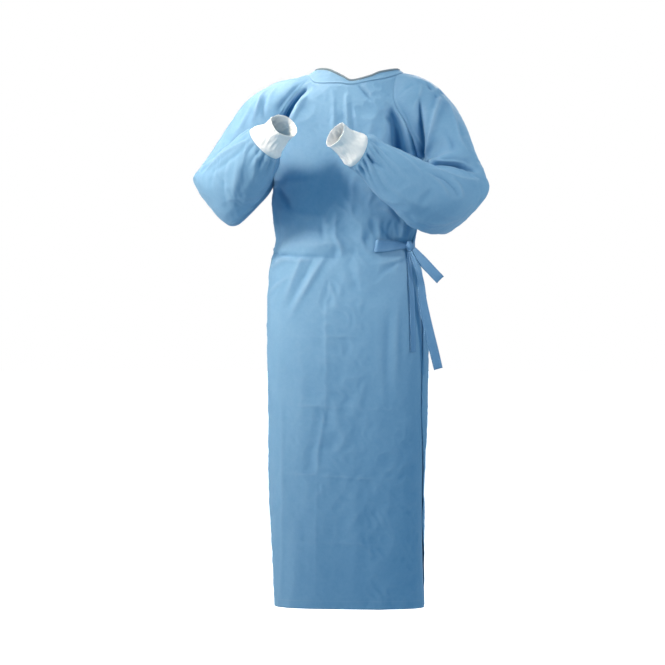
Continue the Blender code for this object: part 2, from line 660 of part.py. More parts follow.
def open_seams(front, under, over, sleeves):
    """Leave the seam gap between all pieces that are sewn together."""
    armpit = SHOULDER_ROWS
    every = range(len(front.points))
    for body in (front, under, over):
        body.pull_row(0, 1)
    front.pull_back(every, 0, 0, 1)
    front.pull_back(every, -1, 0, -1)
    under.pull_back(every, 0, 0, 1)
    over.pull_back(every, -1, 0, -1)
    for sleeve in sleeves:
        sleeve.pull_row(0, 1)
        sleeve.pull_row(-1, -1)
        sleeve.pull_back(range(armpit), 0, 0, 1)
        sleeve.pull_back(range(armpit), -1, 0, -1)
        sleeve.pull_back([armpit], 0, 1, 0)
        sleeve.points[armpit, 0] -= 2 * SEAM_PULL * sleeve.normals[armpit, 0]
        sleeve.points[armpit, -1] = sleeve.points[armpit, 0]
    for body, column in ((front, 0), (front, -1), (under, 0), (over, -1)):
        body.pull_back([armpit], column, 1, 0)


def join_neck(binding, front, under, over, sleeve_right, sleeve_left):
    """Give the lower edge of the binding and the top edges of the panels the same normals."""
    tops = [(over, column) for column in range(OVER_PANEL_COLUMNS + 1)]
    step = SLEEVE_COLUMNS // SLEEVE_NECK_STEPS
    tops += [(sleeve_right, column) for column in range(SLEEVE_COLUMNS - step, 0, -step)]
    tops += [(front, column) for column in range(FRONT_COLUMNS + 1)]
    tops += [(sleeve_left, column) for column in range(step, SLEEVE_COLUMNS, step)]
    tops += [(under, column) for column in range(UNDER_PANEL_COLUMNS + 1)]
    for place, (sheet, column) in enumerate(tops):
        mean = unit(binding.normals[1, place] + sheet.normals[0, column])
        binding.normals[1, place] = mean
        sheet.normals[0, column] = mean
    pairs = (
        (over, -1, sleeve_right, -1),
        (front, 0, sleeve_right, 0),
        (front, -1, sleeve_left, 0),
        (under, 0, sleeve_left, -1),
    )
    for body, body_column, sleeve, sleeve_column in pairs:
        sleeve.normals[0, sleeve_column] = body.normals[0, body_column]
    for sleeve in (sleeve_right, sleeve_left):
        for first in range(0, SLEEVE_COLUMNS, step):
            for column in range(first + 1, first + step):
                share = (column - first) / step
                mean = sleeve.normals[0, first] * (1 - share) + sleeve.normals[0, first + step] * share
                sleeve.normals[0, column] = unit(mean)


def gather_relief(sheet):
    """Raise the gathers in the outer points of a sleeve, strongest a finger's width above the cuff seam."""
    grid_row, grid_column = np.meshgrid(sheet.rows, sheet.columns, indexing="ij")
    near = np.clip((grid_row - 9.6) / 1.0, 0, 1) * np.clip((11.0 - grid_row) / 0.25, 0, 1)
    wave = 0.5 - 0.5 * np.cos(grid_column * math.pi * GATHER_COUNT)
    sheet.relief = GATHER_DEPTH * near * wave


def cuff_sheet(table, axis, flip):
    """A knit cuff from the sleeve's last section to its mouth."""
    crown, hinge, front, back = (np.array(item) for item in table[-1][:4])
    middle = (crown + hinge) / 2
    across = (crown - hinge) / 2
    columns = np.radians(np.linspace(-180, 180, SLEEVE_COLUMNS + 1))
    grid = []
    for share, size, squash in CUFF_PROFILE:
        centre = middle + np.array(axis) * share
        ring = []
        for angle in columns:
            reach = front if angle < 0 else back
            ring.append(centre + size * (across * math.cos(angle) + squash * reach * abs(math.sin(angle))))
        grid.append(ring)
    return Sheet(np.array(grid), flip=flip, closed_from=0)


def strap_sheet(path):
    """A flat strap along centre points with half-width vectors, three columns wide."""
    centres = np.array([line[0] for line in path], float)
    widths = np.array([line[1] for line in path], float)
    grid = centres[:, None] + widths[:, None] * np.array([-1.0, 0.0, 1.0])[None, :, None]
    return Sheet(grid)


def binding_sheet():
    """The neck binding, from the over panel's free edge round the front to the under panel's."""
    limit = 90.0 - SLEEVE_NECK_ANGLE
    far = 90.0 + SLEEVE_NECK_ANGLE
    angles = np.concatenate(
        [
            np.linspace(OVER_PANEL_EDGE[0], -far, OVER_PANEL_COLUMNS + 1),
            np.linspace(-far, -limit, SLEEVE_NECK_STEPS + 1)[1:-1],
            np.linspace(-limit, limit, FRONT_COLUMNS + 1),
            np.linspace(limit, far, SLEEVE_NECK_STEPS + 1)[1:-1],
            np.linspace(far, UNDER_PANEL_EDGE[0], UNDER_PANEL_COLUMNS + 1),
        ]
    )
    upper, lower = binding_edges(angles)
    sheet = Sheet(np.array([upper, lower]))
    lift = over_panel_lift(angles)[None, :, None]
    sheet.points = sheet.points + sheet.normals * lift
    sheet.pull_row(1, -1)
    return sheet


def knot_solid(name):
    """The knot: a small bundle wrapped by one turn of strap."""
    rings = []
    for share in np.linspace(-1, 1, 7):
        size = math.sqrt(max(0.0, 1.0 - 0.62 * share * share))
        waist = 1.0 - 0.16 * math.exp(-((share / 0.35) ** 2))
        ring = []
        for angle in np.radians(np.arange(0, 360, 30)):
            pleat = 1.0 + 0.08 * math.cos(3 * angle)
            x = KNOT_SIZE[0] * size * waist * pleat * math.cos(angle)
            y = KNOT_SIZE[1] * size * waist * pleat * math.sin(angle)
            ring.append((KNOT_PLACE[0] + x, KNOT_PLACE[1] + y, KNOT_PLACE[2] + KNOT_SIZE[2] * share))
        rings.append(ring)
    vertices = [point for ring in rings for point in ring]
    count = len(rings[0])
    faces = []
    for row in range(len(rings) - 1):
        for step in range(count):
            after = (step + 1) % count
            a, b = row * count + step, row * count + after
            faces.append((a, b, b + count, a + count))
    faces.append(tuple(range(count - 1, -1, -1)))
    faces.append(tuple(range((len(rings) - 1) * count, len(rings) * count)))
    return make_object(name, vertices, faces, STRAP_BLUE)


def main():
    """Build every piece in an empty scene."""
    for thing in list(bpy.data.objects):
        bpy.data.objects.remove(thing, do_unlink=True)
    front = front_sheet()
    under = back_sheet(UNDER_PANEL_EDGE, 90.0, UNDER_PANEL_COLUMNS, False)
    over = back_sheet(OVER_PANEL_EDGE, -90.0, OVER_PANEL_COLUMNS, True)
    sleeve_right = sleeve_sheet(RIGHT_SLEEVE, RIGHT_SLEEVE_FOLDS, True)
    sleeve_left = sleeve_sheet(LEFT_SLEEVE, LEFT_SLEEVE_FOLDS, False)
    binding = binding_sheet()
    cuff_right = cuff_sheet(RIGHT_SLEEVE, RIGHT_CUFF_AXIS, True)
    cuff_left = cuff_sheet(LEFT_SLEEVE, LEFT_CUFF_AXIS, False)
    for sheet in (front, under, over, sleeve_right, sleeve_left):
        sheet.calm_normals()
    share_normals(seam_groups(front, under, over, sleeve_right, sleeve_left))
    join_neck(binding, front, under, over, sleeve_right, sleeve_left)
    for sleeve, cuff in ((sleeve_right, cuff_right), (sleeve_left, cuff_left)):
        share_normals([[(sleeve, -1, column), (cuff, 0, column)] for column in range(SLEEVE_COLUMNS + 1)])
        cuff.pull_row(0, 1)
    open_seams(front, under, over, (sleeve_right, sleeve_left))
    gather_relief(sleeve_right)
    gather_relief(sleeve_left)
    build_sheet("front", front, CLOTH_WALL, BLUE)
    build_sheet("back_left", under, CLOTH_WALL, BLUE)
    build_sheet("back_right", over, CLOTH_WALL, BLUE)
    build_sheet("sleeve_right", sleeve_right, CLOTH_WALL, BLUE)
    build_sheet("sleeve_left", sleeve_left, CLOTH_WALL, BLUE)
    build_sheet("cuff_right", cuff_right, KNIT_WALL, KNIT_WHITE)
    build_sheet("cuff_left", cuff_left, KNIT_WALL, KNIT_WHITE)
    build_sheet("neck_binding", binding, CLOTH_WALL, BINDING_BLUE)
    for name, path in STRAPS:
        build_sheet(name, strap_sheet(path), STRAP_WALL, STRAP_BLUE)
    knot_solid("tie_knot")


main()
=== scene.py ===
"""Surgical gown for looks: panels, raglan sleeves, knit cuffs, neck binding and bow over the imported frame.

Metres, +Z up, the front of the gown faces -Y, the wearer's left is +X.
The origin lies between the shoulders, level with the side points of the neck.
"""
import math

import bpy
import numpy as np
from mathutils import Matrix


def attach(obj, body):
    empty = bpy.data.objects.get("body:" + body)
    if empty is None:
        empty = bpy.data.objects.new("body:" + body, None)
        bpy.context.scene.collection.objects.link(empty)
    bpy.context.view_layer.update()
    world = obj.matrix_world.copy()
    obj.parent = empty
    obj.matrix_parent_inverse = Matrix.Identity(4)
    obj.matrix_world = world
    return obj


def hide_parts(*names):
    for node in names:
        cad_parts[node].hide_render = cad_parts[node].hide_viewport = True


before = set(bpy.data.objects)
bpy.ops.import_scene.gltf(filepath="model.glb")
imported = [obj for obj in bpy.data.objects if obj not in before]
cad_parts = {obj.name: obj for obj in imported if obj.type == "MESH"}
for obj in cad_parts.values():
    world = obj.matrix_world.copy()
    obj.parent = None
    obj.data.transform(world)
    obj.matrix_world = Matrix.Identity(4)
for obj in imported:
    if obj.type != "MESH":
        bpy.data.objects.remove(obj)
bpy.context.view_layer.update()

bl_info = {
    "name": "Surgical gown",
    "version": (1, 0, 0),
    "blender": (4, 5, 0),
    "location": "View3D > Sidebar > Gown",
    "description": "Builds a worn surgical gown with raglan sleeves, knit cuffs, a neck binding and a bow",
    "category": "Object",
}

# Camera: the photograph's place and lens
CAMERA_PLACE = (-0.0454, -4.5, -0.6116)
CAMERA_LENS = 104.6

# Floor: its level, and the radii and sides of its rings
FLOOR_LEVEL = -1.50
FLOOR_RINGS = (2.0, 6.0, 40.0)
FLOOR_SIDES = 96

# Colours of the lamps and of the even light from all sides
LAMP_COLOUR = (1.0, 0.83, 0.66)
SKY_COLOUR = (0.30, 0.70, 1.0, 1.0)

# How far the over panel stands off the panel below it
OVER_PANEL_LIFT = 0.0042

# Half of the part of the neck that each sleeve takes, degrees
SLEEVE_NECK_ANGLE = 14.0

# Sections of the armpits and of the hem or cuff seam, and how many sections the neck's edge takes to fade
ARMPIT = 4
LAST_SECTION = 11
NECK_FADE = 2.2

# Mesh density of panels and sleeves: cells of about 3 to 4 mm
SHOULDER_STEPS = 80
SKIRT_STEPS = 236
ARM_STEPS = 124
SLEEVE_COLUMNS = 112
FRONT_COLUMNS = 122
UNDER_PANEL_COLUMNS = 84
OVER_PANEL_COLUMNS = 124

# Mesh density of the small pieces: rings and points round a cuff and the knot, steps and points of a strap,
# points along the neck, rows of its band and of the grey strip of painted shade on its upper edge
CUFF_GRID = (47, 161)
KNOT_GRID = (61, 73)
STRAP_STEPS = 110
STRAP_POINTS = 17
NECK_POINTS = 401
BAND_ROWS = 15
SHADE_STRIP_ROWS = 8

# Seam allowance that turns in at a sewn edge, how far it slants in, the step before it, half of the seam gap
# and the strip beside a seam that small creases leave flat
TURN_IN = 0.004
TURN_SLANT = 0.0003
EDGE_STEP = 0.0012
SEAM_PULL = 0.00015
SEAM_FADE = 0.014

# Stitches: distance of the row from a seam and from the hem, half width of a stitch and pitch of the row
SEAM_STITCHES = 0.0050
HEM_STITCHES = 0.018
STITCH_WIDTH = 0.00045
STITCH_PITCH = 0.0032

# Gathers where a sleeve meets its cuff
GATHER_COUNT = 17
GATHER_DEPTH = 0.0064

# Slow waves of hanging cloth and small handling creases: height, size and seed
HANG_WAVES = ((0.0012, 0.17, 11), (0.0007, 0.075, 23))
CRUMPLE_SIZES = ((0.0024, 0.080, 0), (0.0012, 0.033, 40))

# Place and reach of the bow, under which the front hangs more evenly
BOW_PLACE = (0.122, -0.09, -0.44)
BOW_REACH = (0.07, 0.08, 0.09)


def in_metres(lines, lengths):
    """Lines of a table whose first numbers, as many as lengths says, turn from millimetres into metres."""
    return tuple((*(value / 1000 for value in line[:lengths]), *line[lengths:]) for line in lines)


# Sleeve sections from the neck (0) over the armpit (4) and the elbow to the cuff seam (11).
# crown: the outer point; hinge: midway between the seams, or the inner point of a closed section;
# front and back: reach of the section from its middle; open: half angle, degrees;
# forms of front and back: 2 is an ellipse, more is squarer, less is nearer to a straight line.
RIGHT_SLEEVE = in_metres((
    # crown x y z, hinge x y z, front reach x y z, back reach x y z, open, front form, back form
    (-98, 0, -10, -96, 2, -29, -10, -42, -5, 10, 43, 5, 90, 2, 2),
    (-172, 0, -30, -140, 0, -73, 0, -86, -3, 0, 86, 3, 100, 2, 2),
    (-238, 0, -69, -167, 1, -128, -2, -98, -3, 2, 96, 3, 115, 2, 2),
    (-284, 0, -124, -179, 2, -212, -2, -90, -4, 2, 88, 4, 140, 2, 2),
    (-319, 0, -182, -184, 0, -273, -4, -80, -4, 0, 76, 0, 180, 2, 2),
    (-347, -6, -222, -222, -10, -322, 8, -82, 27, 0, 72, 0, 180, 2, 2.1),
    (-364, -18, -246, -258, -25, -356, 27, -76, 44, -4, 60, -8, 180, 2, 2.6),
    (-366, -46, -252, -276, -60, -362, 38, -50, 45, -8, 40, -12, 180, 2, 2.9),
    (-342, -96, -238, -250, -112, -350, 34, -1, 38, -26, -10, -26, 180, 2, 2.4),
    (-298, -140, -208, -208, -158, -310, 36, 31, 27, -36, -30, -30, 180, 2, 2.1),
    (-256, -186, -176, -182, -208, -266, 36, 40, 20, -34, -40, -20, 180, 2, 2),
    (-222, -224, -161, -170, -244, -229, 18, 36, 3, -18, -36, -3, 180, 2, 2),
), 12)
LEFT_SLEEVE = in_metres((
    # crown x y z, hinge x y z, front reach x y z, back reach x y z, open, front form, back form
    (118, 0, -6, 98, 4, -19, 4, -46, -6, -4, 46, 6, 90, 2, 2),
    (180, 0, -26, 108, 0, -80, -13, -88, -4, 10, 86, 4, 100, 2, 2),
    (234, -6, -78, 134, 0, -134, -12, -98, -4, 8, 94, 4, 115, 2, 2),
    (266, -30, -142, 152, 0, -204, -10, -100, 10, 4, 86, 4, 140, 2, 2),
    (284, -70, -206, 162, 0, -276, -16, -92, 40, 0, 72, 0, 180, 2, 2),
    (296, -96, -238, 174, -20, -326, -53, -92, 56, 4, 66, -7, 180, 1.9, 2.2),
    (296, -116, -248, 184, -50, -354, -76, -75, 65, 17, 49, -18, 180, 1.55, 3),
    (292, -136, -262, 178, -90, -370, -86, -55, 69, 28, 17, -32, 180, 1.35, 3.2),
    (248, -198, -280, 130, -140, -356, -54, -3, 66, 15, -30, -45, 180, 1.6, 2.6),
    (180, -226, -252, 88, -180, -328, -14, 30, 48, 6, -40, -44, 180, 1.9, 2),
    (106, -228, -214, 40, -210, -290, -10, 40, 24, 10, -40, -26, 180, 2, 2),
    (16, -216, -176, 2, -262, -245, -22, 24, -12, 22, -24, 12, 180, 2, 2),
), 12)

# Body sections from the neck (0) over the armpits (4) and the waist (6) to the hem (11)
BODY_MIDDLES = in_metres((
    # front middle x y z, back middle x y z, half angle of the arc in degrees, form
    (-1, -80, -42, 12, 82, -31, 90, 2),
    (-4, -106, -96, 4, 104, -90, 62, 2),
    (-8, -122, -152, -4, 116, -148, 64, 2),
    (-10, -128, -214, -8, 118, -212, 74, 2),
    (-12, -128, -274, -12, 116, -274, 90, 2.1),
    (-12, -124, -330, -12, 110, -330, 90, 2.2),
    (-14, -115, -402, -14, 102, -402, 90, 2.3),
    (-14, -120, -480, -14, 112, -480, 90, 2.4),
    (-12, -125, -610, -12, 125, -610, 90, 2.5),
    (-12, -122, -810, -12, 126, -810, 90, 2.6),
    (-12, -120, -1030, -12, 124, -1030, 90, 2.6),
    (-6, -118, -1240, -6, 122, -1246, 90, 2.6),
), 6)

# Sides of the body from the armpits (4) to the hem (11); above them the raglan seams are the sides
BODY_SIDES = in_metres((
    # right side x y z, left side x y z
    (-184, 0, -273, 162, 0, -276),
    (-184, 0, -330, 163, 0, -330),
    (-177, 0, -400, 141, -4, -405),
    (-192, 0, -480, 158, -2, -480),
    (-196, 0, -610, 172, 0, -610),
    (-193, 0, -810, 168, 0, -810),
    (-189, 0, -1030, 162, 0, -1030),
    (-177, 0, -1246, 167, 0, -1249),
), 6)

# Bow at the wearer's left waist: the knot, then the straps from the knot outwards
KNOT_PLACE = (0.131, -0.0765, -0.4135)
KNOT_SIZE = (0.0085, 0.0080, 0.0110)
LOOP_LEFT = in_metres((
    # centre x y z, half width x y z
    (123.2, -79.5, -413, 0, 0, 4.5),
    (113, -88.5, -413.5, 0, 0, 7.5),
    (95, -101.2, -414, 0, 0, 11),
    (75, -111, -415, 1, 1, 13),
    (58, -118, -415.5, 2, 1, 14),
    (53, -117, -415.5, 2, 1, 14),
    (54, -113, -415.5, 2, 1, 14),
    (75, -106.5, -415, 1, 1, 13),
    (95, -97.2, -414, 0, 0, 11),
    (110, -86, -413, 0, 0, 7.5),
    (119, -77.2, -412.5, 0, 0, 4.5),
), 6)
LOOP_RIGHT = in_metres((
    # centre x y z, half width x y z
    (141, -78.5, -419, 2.8, 0, 2.8),
    (149, -81.5, -431, 5.5, 1, 5),
    (162.5, -85.5, -449, 7.5, 1, 7.5),
    (184, -85, -473, 8, 1, 7.8),
    (198.5, -81.5, -488, 8, 1, 7.8),
    (201.5, -77.5, -491, 8, 1, 7.8),
    (197.5, -74.5, -487, 8, 1, 7.8),
    (183, -78, -472, 8, 1, 7.8),
    (162, -79.5, -450, 7.5, 1, 7.5),
    (149.5, -76, -431.5, 5.5, 1, 5),
    (142.5, -73, -421.5, 2.8, 0, 2.8),
), 6)
TAIL_LONG = in_metres((
    # centre x y z, half width x y z
    (133.5, -80, -425, 3.5, 0, 0),
    (140, -87, -444, 4.5, 1, 1.2),
    (152, -89, -475, 6, 2, 1.5),
    (157.5, -82, -505, 8.5, 3, 1.5),
    (160.5, -82, -536, 9.5, 3, 1.5),
    (168, -81, -576, 10.5, 3, 2),
    (177, -79, -616, 11, 2, 2.5),
    (187.5, -77, -656, 10.5, 2, 2.8),
    (197, -75, -695, 10, 2, 2.8),
), 6)
TAIL_MIDDLE = in_metres((
    # centre x y z, half width x y z
    (127.5, -75.5, -425, 3, 0, 0),
    (130.5, -79, -450, 4.6, 2, 0),
    (134, -85.5, -495, 5.8, 5, 0),
    (136.5, -88.5, -535, 6.2, 5.5, 0),
    (138, -90, -580, 6.5, 5.5, 0),
    (139, -91.5, -625, 6.5, 5.5, 0),
    (139, -91.2, -656, 6, 5.5, 0),
), 6)
BELT_BACK = in_metres((
    # centre x y z, half width x y z
    (144.7, -40, -410.5, 0.8, 0, -9.5),
    (142.7, -50, -411.5, 0.5, 0, -8),
    (140.4, -60, -412, 0, 0, -6.5),
    (138, -70.9, -412.5, 0, 0, -5.5),
), 6)
STRAPS = (
    # name, path, flat width and length, held
    ("tie_loop_left", LOOP_LEFT, (0.026, 0.160), "folded"),
    ("tie_loop_right", LOOP_RIGHT, (0.022, 0.190), "folded"),
    ("tie_tail_long", TAIL_LONG, (0.021, 0.285), "hung"),
    ("tie_tail_middle", TAIL_MIDDLE, (0.017, 0.235), "hung"),
    ("belt_back", BELT_BACK, (0.014, 0.034), "stretched"),
)

# Free edge of each back panel: degrees round the body from the middle of the front, for every section
UNDER_PANEL_EDGE = (200, 200, 200, 201, 202, 203, 204, 205, 206, 207, 208, 208)
OVER_PANEL_EDGE = (-205, -209, -214, -220, -228, -254, -286, -292, -294, -291, -272, -264)

# Neck binding, by the angle round the neck
BINDING = in_metres((
    # upper edge x y z, lower edge x y z, angle in degrees
    (-1, -72, -33, -1, -80, -42, 0),
    (38, -66, -23, 41, -74, -33, 30),
    (66, -50, -10.5, 73, -60, -26, 60),
    (107, 0, 1, 118, 0, -6, 90),
    (75, 52, -10, 86, 60, -17, 135),
    (12, 72, -20, 12, 82, -31, 180),
    (-55, 52, -10, -68, 58, -18, 225),
    (-82, 0, -1, -98, 0, -10, 270),
    (-53.5, -45, -5.6, -85, -58, -36, 300),
    (-22.4, -65, -22.6, -32, -78, -39, 330),
), 6)

# Folds and the creases that the gown kept from its pack: three knots, then the width at the start and the
# end and the rise at the start, the middle and the end in millimetres, how far one flank is wider, and 0 for
# a soft to 1 for a sharp one. Knots of the front: x and z, seen from the front. Knots of the backs: section
# and degrees round the body. Knots of a sleeve: section and column, -1 front seam over 0 crown to 1.
FRONT_FOLDS = in_metres((
    # x z, x z, x z; width, width, rise, rise, rise, lean, sharp
    (-44, -57, -42, -125, -42, -198, 6.4, 8.3, 0, 3.5, 0, 0.2, 0.15),
    (-15, -66, -14, -112, -10, -175, 5.5, 7.4, 0, 3.9, 0, -0.2, 0.15),
    (-1, -75, -1, -141, 3, -220, 4.6, 7.4, 0, -2.5, 0, 0, 0.15),
    (16, -50, 31, -68, 46, -89, 3.7, 5.5, -3.9, -4.5, 0, 0.3, 0.65),
    (24, -52, 40, -68, 56, -87, 4.6, 5.5, 1.9, 3.5, 0, 0, 0.15),
    (86, -94, 106, -140, 124, -240, 8, 22, -3, -21, -36, 0.3, 0.2),
    (92, -97, 118, -134, 144, -220, 3.7, 3.7, 0, 3.2, 3.2, 0, 0.45),
    (-108, -52, -130, -80, -154, -122, 3.7, 7.4, -9.9, -18.7, -22, 0.2, 0.35),
    (-96, -60, -116, -88, -138, -130, 5.5, 7.4, 1.5, 4.7, 3.2, 0.2, 0.15),
    (-176, -277, -160, -302, -142, -338, 11, 12.9, -4.7, -7.9, -3.2, 0, 0.15),
    (-37, -341, -39, -368, -38, -400, 4, 5, 0, 2.6, 0, 0.2, 0.2),
    (-69, -345, -71, -384, -69, -429, 6.4, 7.4, 0, -1.9, 0, 0, 0.15),
    (-150, -410, -70, -412, 30, -412, 20.2, 23.9, 4.4, 8.8, 0, 0, 0.15),
    (-183, -427, -109, -437, -10, -441, 2.8, 4.6, -6.1, -4.6, 0, 0.3, 0.65),
    (-178, -438, -124, -447, -78, -445, 4.6, 5.5, 1.5, 2.9, 0.8, 0, 0.15),
    (-182, -458, -162, -446, -137, -439, 4, 4.5, 6, 6.5, 0.5, 0.3, 0.4),
    (-186, -517, -167, -498, -140, -483, 4.5, 5, 5, 5, 0.3, 0.3, 0.4),
    (-187, -552, -171, -520, -158, -497, 5.5, 5.5, 1.5, 2.5, 0, 0.1, 0.35),
    (-65, -443, -99, -502, -144, -579, 6.4, 10.1, 2.4, 5.7, 0.8, 0.3, 0.15),
    (-110, -435, -130, -479, -155, -542, 5.5, 8.3, 2.4, 4.5, 0.8, 0.3, 0.15),
    (-87, -440, -115, -493, -151, -565, 5.5, 8.3, -1.5, -3.9, 0, 0, 0.15),
    (-56, -488, -60, -520, -65, -565, 3.7, 5.5, 0, -2.9, 0, 0.3, 0.55),
    (-56, -488, -44, -520, -33, -565, 3.7, 7.4, 0, 2.9, 0, 0.3, 0.45),
    (-28, -452, -1, -483, 12, -538, 8.3, 12.9, 0, -2.4, 0, 0, 0.15),
    (122, -395, 137, -372, 148, -352, 7.4, 8.3, 5.7, 6.7, 2.4, 0, 0.15),
    (110, -392, 117, -362, 122, -335, 6.4, 7.4, 5.1, 5.7, 1.5, 0, 0.15),
    (128, -396, 139, -386, 152, -374, 2.8, 3.7, 2.2, 2.5, 0, 0.2, 0.55),
    (100, -396, 96, -376, 94, -356, 3.7, 5.5, 1, 2.2, 0, 0.2, 0.35),
    (113, -436, 104, -456, 99, -493, 3.7, 7.4, 0.7, 1.9, 0, 0.2, 0.35),
    (103, -538, 99, -629, 101, -742, 7.4, 9.2, 0, 3.2, 0, 0.2, 0.15),
    (83, -561, 78, -651, 80, -765, 7.4, 9.2, 0, -2.9, 0, 0, 0.15),
    (-160, -753, -159, -946, -162, -1218, 3.7, 4.6, 0.8, 2.5, 1.3, 0.4, 0.45),
    (-119, -606, -115, -765, -119, -923, 12.9, 14.7, 0, 1.9, 0, 0, 0.15),
    (-1, -923, 8, -1082, -1, -1218, 14.7, 18.4, 0, 2.2, 1, 0, 0.15),
    (-119, -991, -110, -1105, -119, -1227, 11, 14.7, 0, -1.9, -1, 0, 0.15),
    (60, -240, 72, -290, 88, -345, 9.2, 12.9, 0.8, 3.5, 0.8, 0.3, 0.15),
    (36, -300, 44, -345, 50, -395, 8.3, 11, 0, -2.5, 0, 0, 0.15),
    (118, -440, 85, -452, 45, -458, 3, 6, 1.6, 2.6, 0.3, 0.3, 0.4),
    (116, -447, 78, -470, 40, -500, 4, 8, -1.2, -2.6, -0.3, 0.3, 0.2),
    (119, -425, 90, -400, 60, -365, 4, 9, -1, -3.4, -0.6, 0.3, 0.2),
    (70, -330, 92, -345, 112, -372, 6, 7, 1, 3.4, 1.2, 0.3, 0.3),
    (-166, -262, -120, -268, -60, -262, 9, 12, 0.5, 3.2, 0.4, 0.3, 0.2),
    (-160, -330, -110, -345, -50, -352, 8, 12, 0.4, 3, 0.4, 0.3, 0.2),
    (60, -110, 40, -150, 34, -205, 7, 10, 0.4, 2.8, 0.4, 0.3, 0.2),
), 6)
FRONT_CREASES = in_metres((
    # x z, x z, x z; width, width, rise, rise, rise, lean, sharp
    (-62, -495, -60, -640, -60, -776, 3.2, 3.2, 0.8, 1.3, 1, 0, 0.9),
    (-60, -776, -71, -846, -81, -923, 2.4, 2.6, 1.2, 1.7, 0.8, 0, 1),
    (-81, -928, -83, -1059, -85, -1196, 2.4, 2.8, 0.8, 0.7, 0.4, 0, 1),
    (-69, -620, -28, -621, 22, -623, 2.4, 2.6, 0.9, 1, 0, 0, 1),
    (-151, -774, -78, -779, -1, -783, 2.4, 2.6, 0.6, 1.4, 0, 0, 1),
    (-151, -932, -28, -939, 108, -948, 2.6, 2.6, 0.8, 1.6, 0.4, 0, 1),
    (-142, -1089, -35, -1089, 80, -1096, 2.6, 2.8, 0.2, 0.9, 0.2, 0, 1),
    (-174, -620, -119, -620, -71, -621, 2.4, 2.4, 0, 0.5, 0.5, 0, 1),
    (-1, -783, 62, -785, 112, -787, 2.4, 2.6, 0, 0.5, 0, 0, 1),
), 6)
UNDER_PANEL_FOLDS = (
    # section degrees, three times; width, width, rise, rise, rise, lean, sharp
    (4.6, 104, 5.2, 112, 6, 118, 9.5, 11.4, 0, -4.3, 0, 0.2, 0.1),
    (6.2, 140, 7.4, 146, 9, 144, 13.3, 17.1, 0, -4.3, 0, 0, 0.1),
    (2, 150, 3.2, 158, 4.8, 164, 9.5, 13.3, 0, 1.3, 0, 0, 0.1),
    (6.1, 100, 6.2, 150, 6.1, 200, 3.8, 4.8, -2.6, -3.5, -2.6, 0.3, 0.6),
)
OVER_PANEL_FOLDS = (
    # section degrees, three times; width, width, rise, rise, rise, lean, sharp
    (1.6, -122, 2.6, -112, 3.8, -100, 8.5, 12.3, -3.2, -8.6, -6.6, 0.2, 0.15),
    (1.8, -132, 2.9, -124, 4.2, -114, 7.6, 9.5, 1.1, 5.6, 1.1, 0.2, 0.15),
    (0.6, -168, 1.8, -172, 3.4, -176, 7.6, 11.4, 0.6, 4.8, 0, 0.2, 0.15),
    (0.7, -196, 1.6, -190, 2.8, -184, 6.6, 9.5, 0.6, 3.8, 0, 0.3, 0.15),
    (3.4, -186, 4.6, -190, 5.7, -188, 8.5, 8.5, 0, 4.3, 0.8, 0.2, 0.15),
    (3.8, -150, 4.8, -154, 5.8, -160, 9.5, 9.5, 0, 4.8, 1.1, -0.2, 0.15),
    (4.4, -116, 5, -130, 5.8, -140, 8.5, 8.5, 0.8, 5.1, 0.8, 0.2, 0.15),
    (5.98, -94, 6.05, -150, 6, -214, 3.3, 4.3, -5.6, -5.1, -1.8, 0.3, 0.75),
    (6, -224, 5.95, -255, 6, -282, 3.3, 3.8, -1.3, -1.9, -0.8, 0.3, 0.75),
    (6.25, -92, 6.22, -120, 6.12, -150, 4.8, 5.7, 3.5, 3.8, 0, 0.2, 0.15),
    (6.3, -140, 7.1, -128, 8, -112, 7.6, 11.4, 2.6, 6.6, 0.8, 0.3, 0.15),
    (6.3, -165, 7.2, -160, 8.4, -150, 7.6, 11.4, 1.8, 5.6, 0.8, 0.3, 0.15),
    (6.3, -205, 7.3, -200, 8.6, -196, 7.6, 13.3, 1.8, 5.1, 0.8, 0.3, 0.15),
    (6.2, -236, 7.2, -232, 8.6, -226, 6.6, 11.4, 1.3, 4.3, 0.6, 0.3, 0.15),
    (8.2, -182, 9.4, -178, 10.9, -182, 15.2, 19, 0, 4.8, 2.2, 0, 0.15),
    (8.4, -128, 9.6, -124, 10.9, -128, 13.3, 17.1, 0, 3.8, 1.8, 0, 0.15),
    (8.4, -214, 9.6, -220, 10.9, -214, 13.3, 17.1, 0, 3.8, 1.8, 0, 0.15),
    (5.2, -170, 4.6, -160, 3.8, -146, 7, 10, 1, 4, 1, 0.3, 0.2),
    (5.3, -205, 4.7, -214, 3.9, -222, 7, 10, 1, 3.6, 1, -0.3, 0.2),
    (5.6, -128, 4.8, -118, 3.6, -108, 7, 10, -1, -3.6, -1, 0.3, 0.2),
    (6.5, -112, 7.4, -104, 8.8, -100, 8, 12, 1.5, 4, 1, 0.3, 0.2),
    (6.5, -182, 7.5, -186, 8.9, -190, 8, 12, -1, -3.6, -1, 0.3, 0.2),
    (6.6, -222, 7.6, -216, 9, -208, 8, 12, -1, -3.4, -1, -0.3, 0.2),
    (8.6, -150, 9.8, -154, 11, -158, 10, 14, 1, 4, 3, 0.3, 0.1),
    (8.8, -196, 9.8, -198, 11, -202, 10, 14, -1, -3.6, -2, 0.2, 0.1),
)
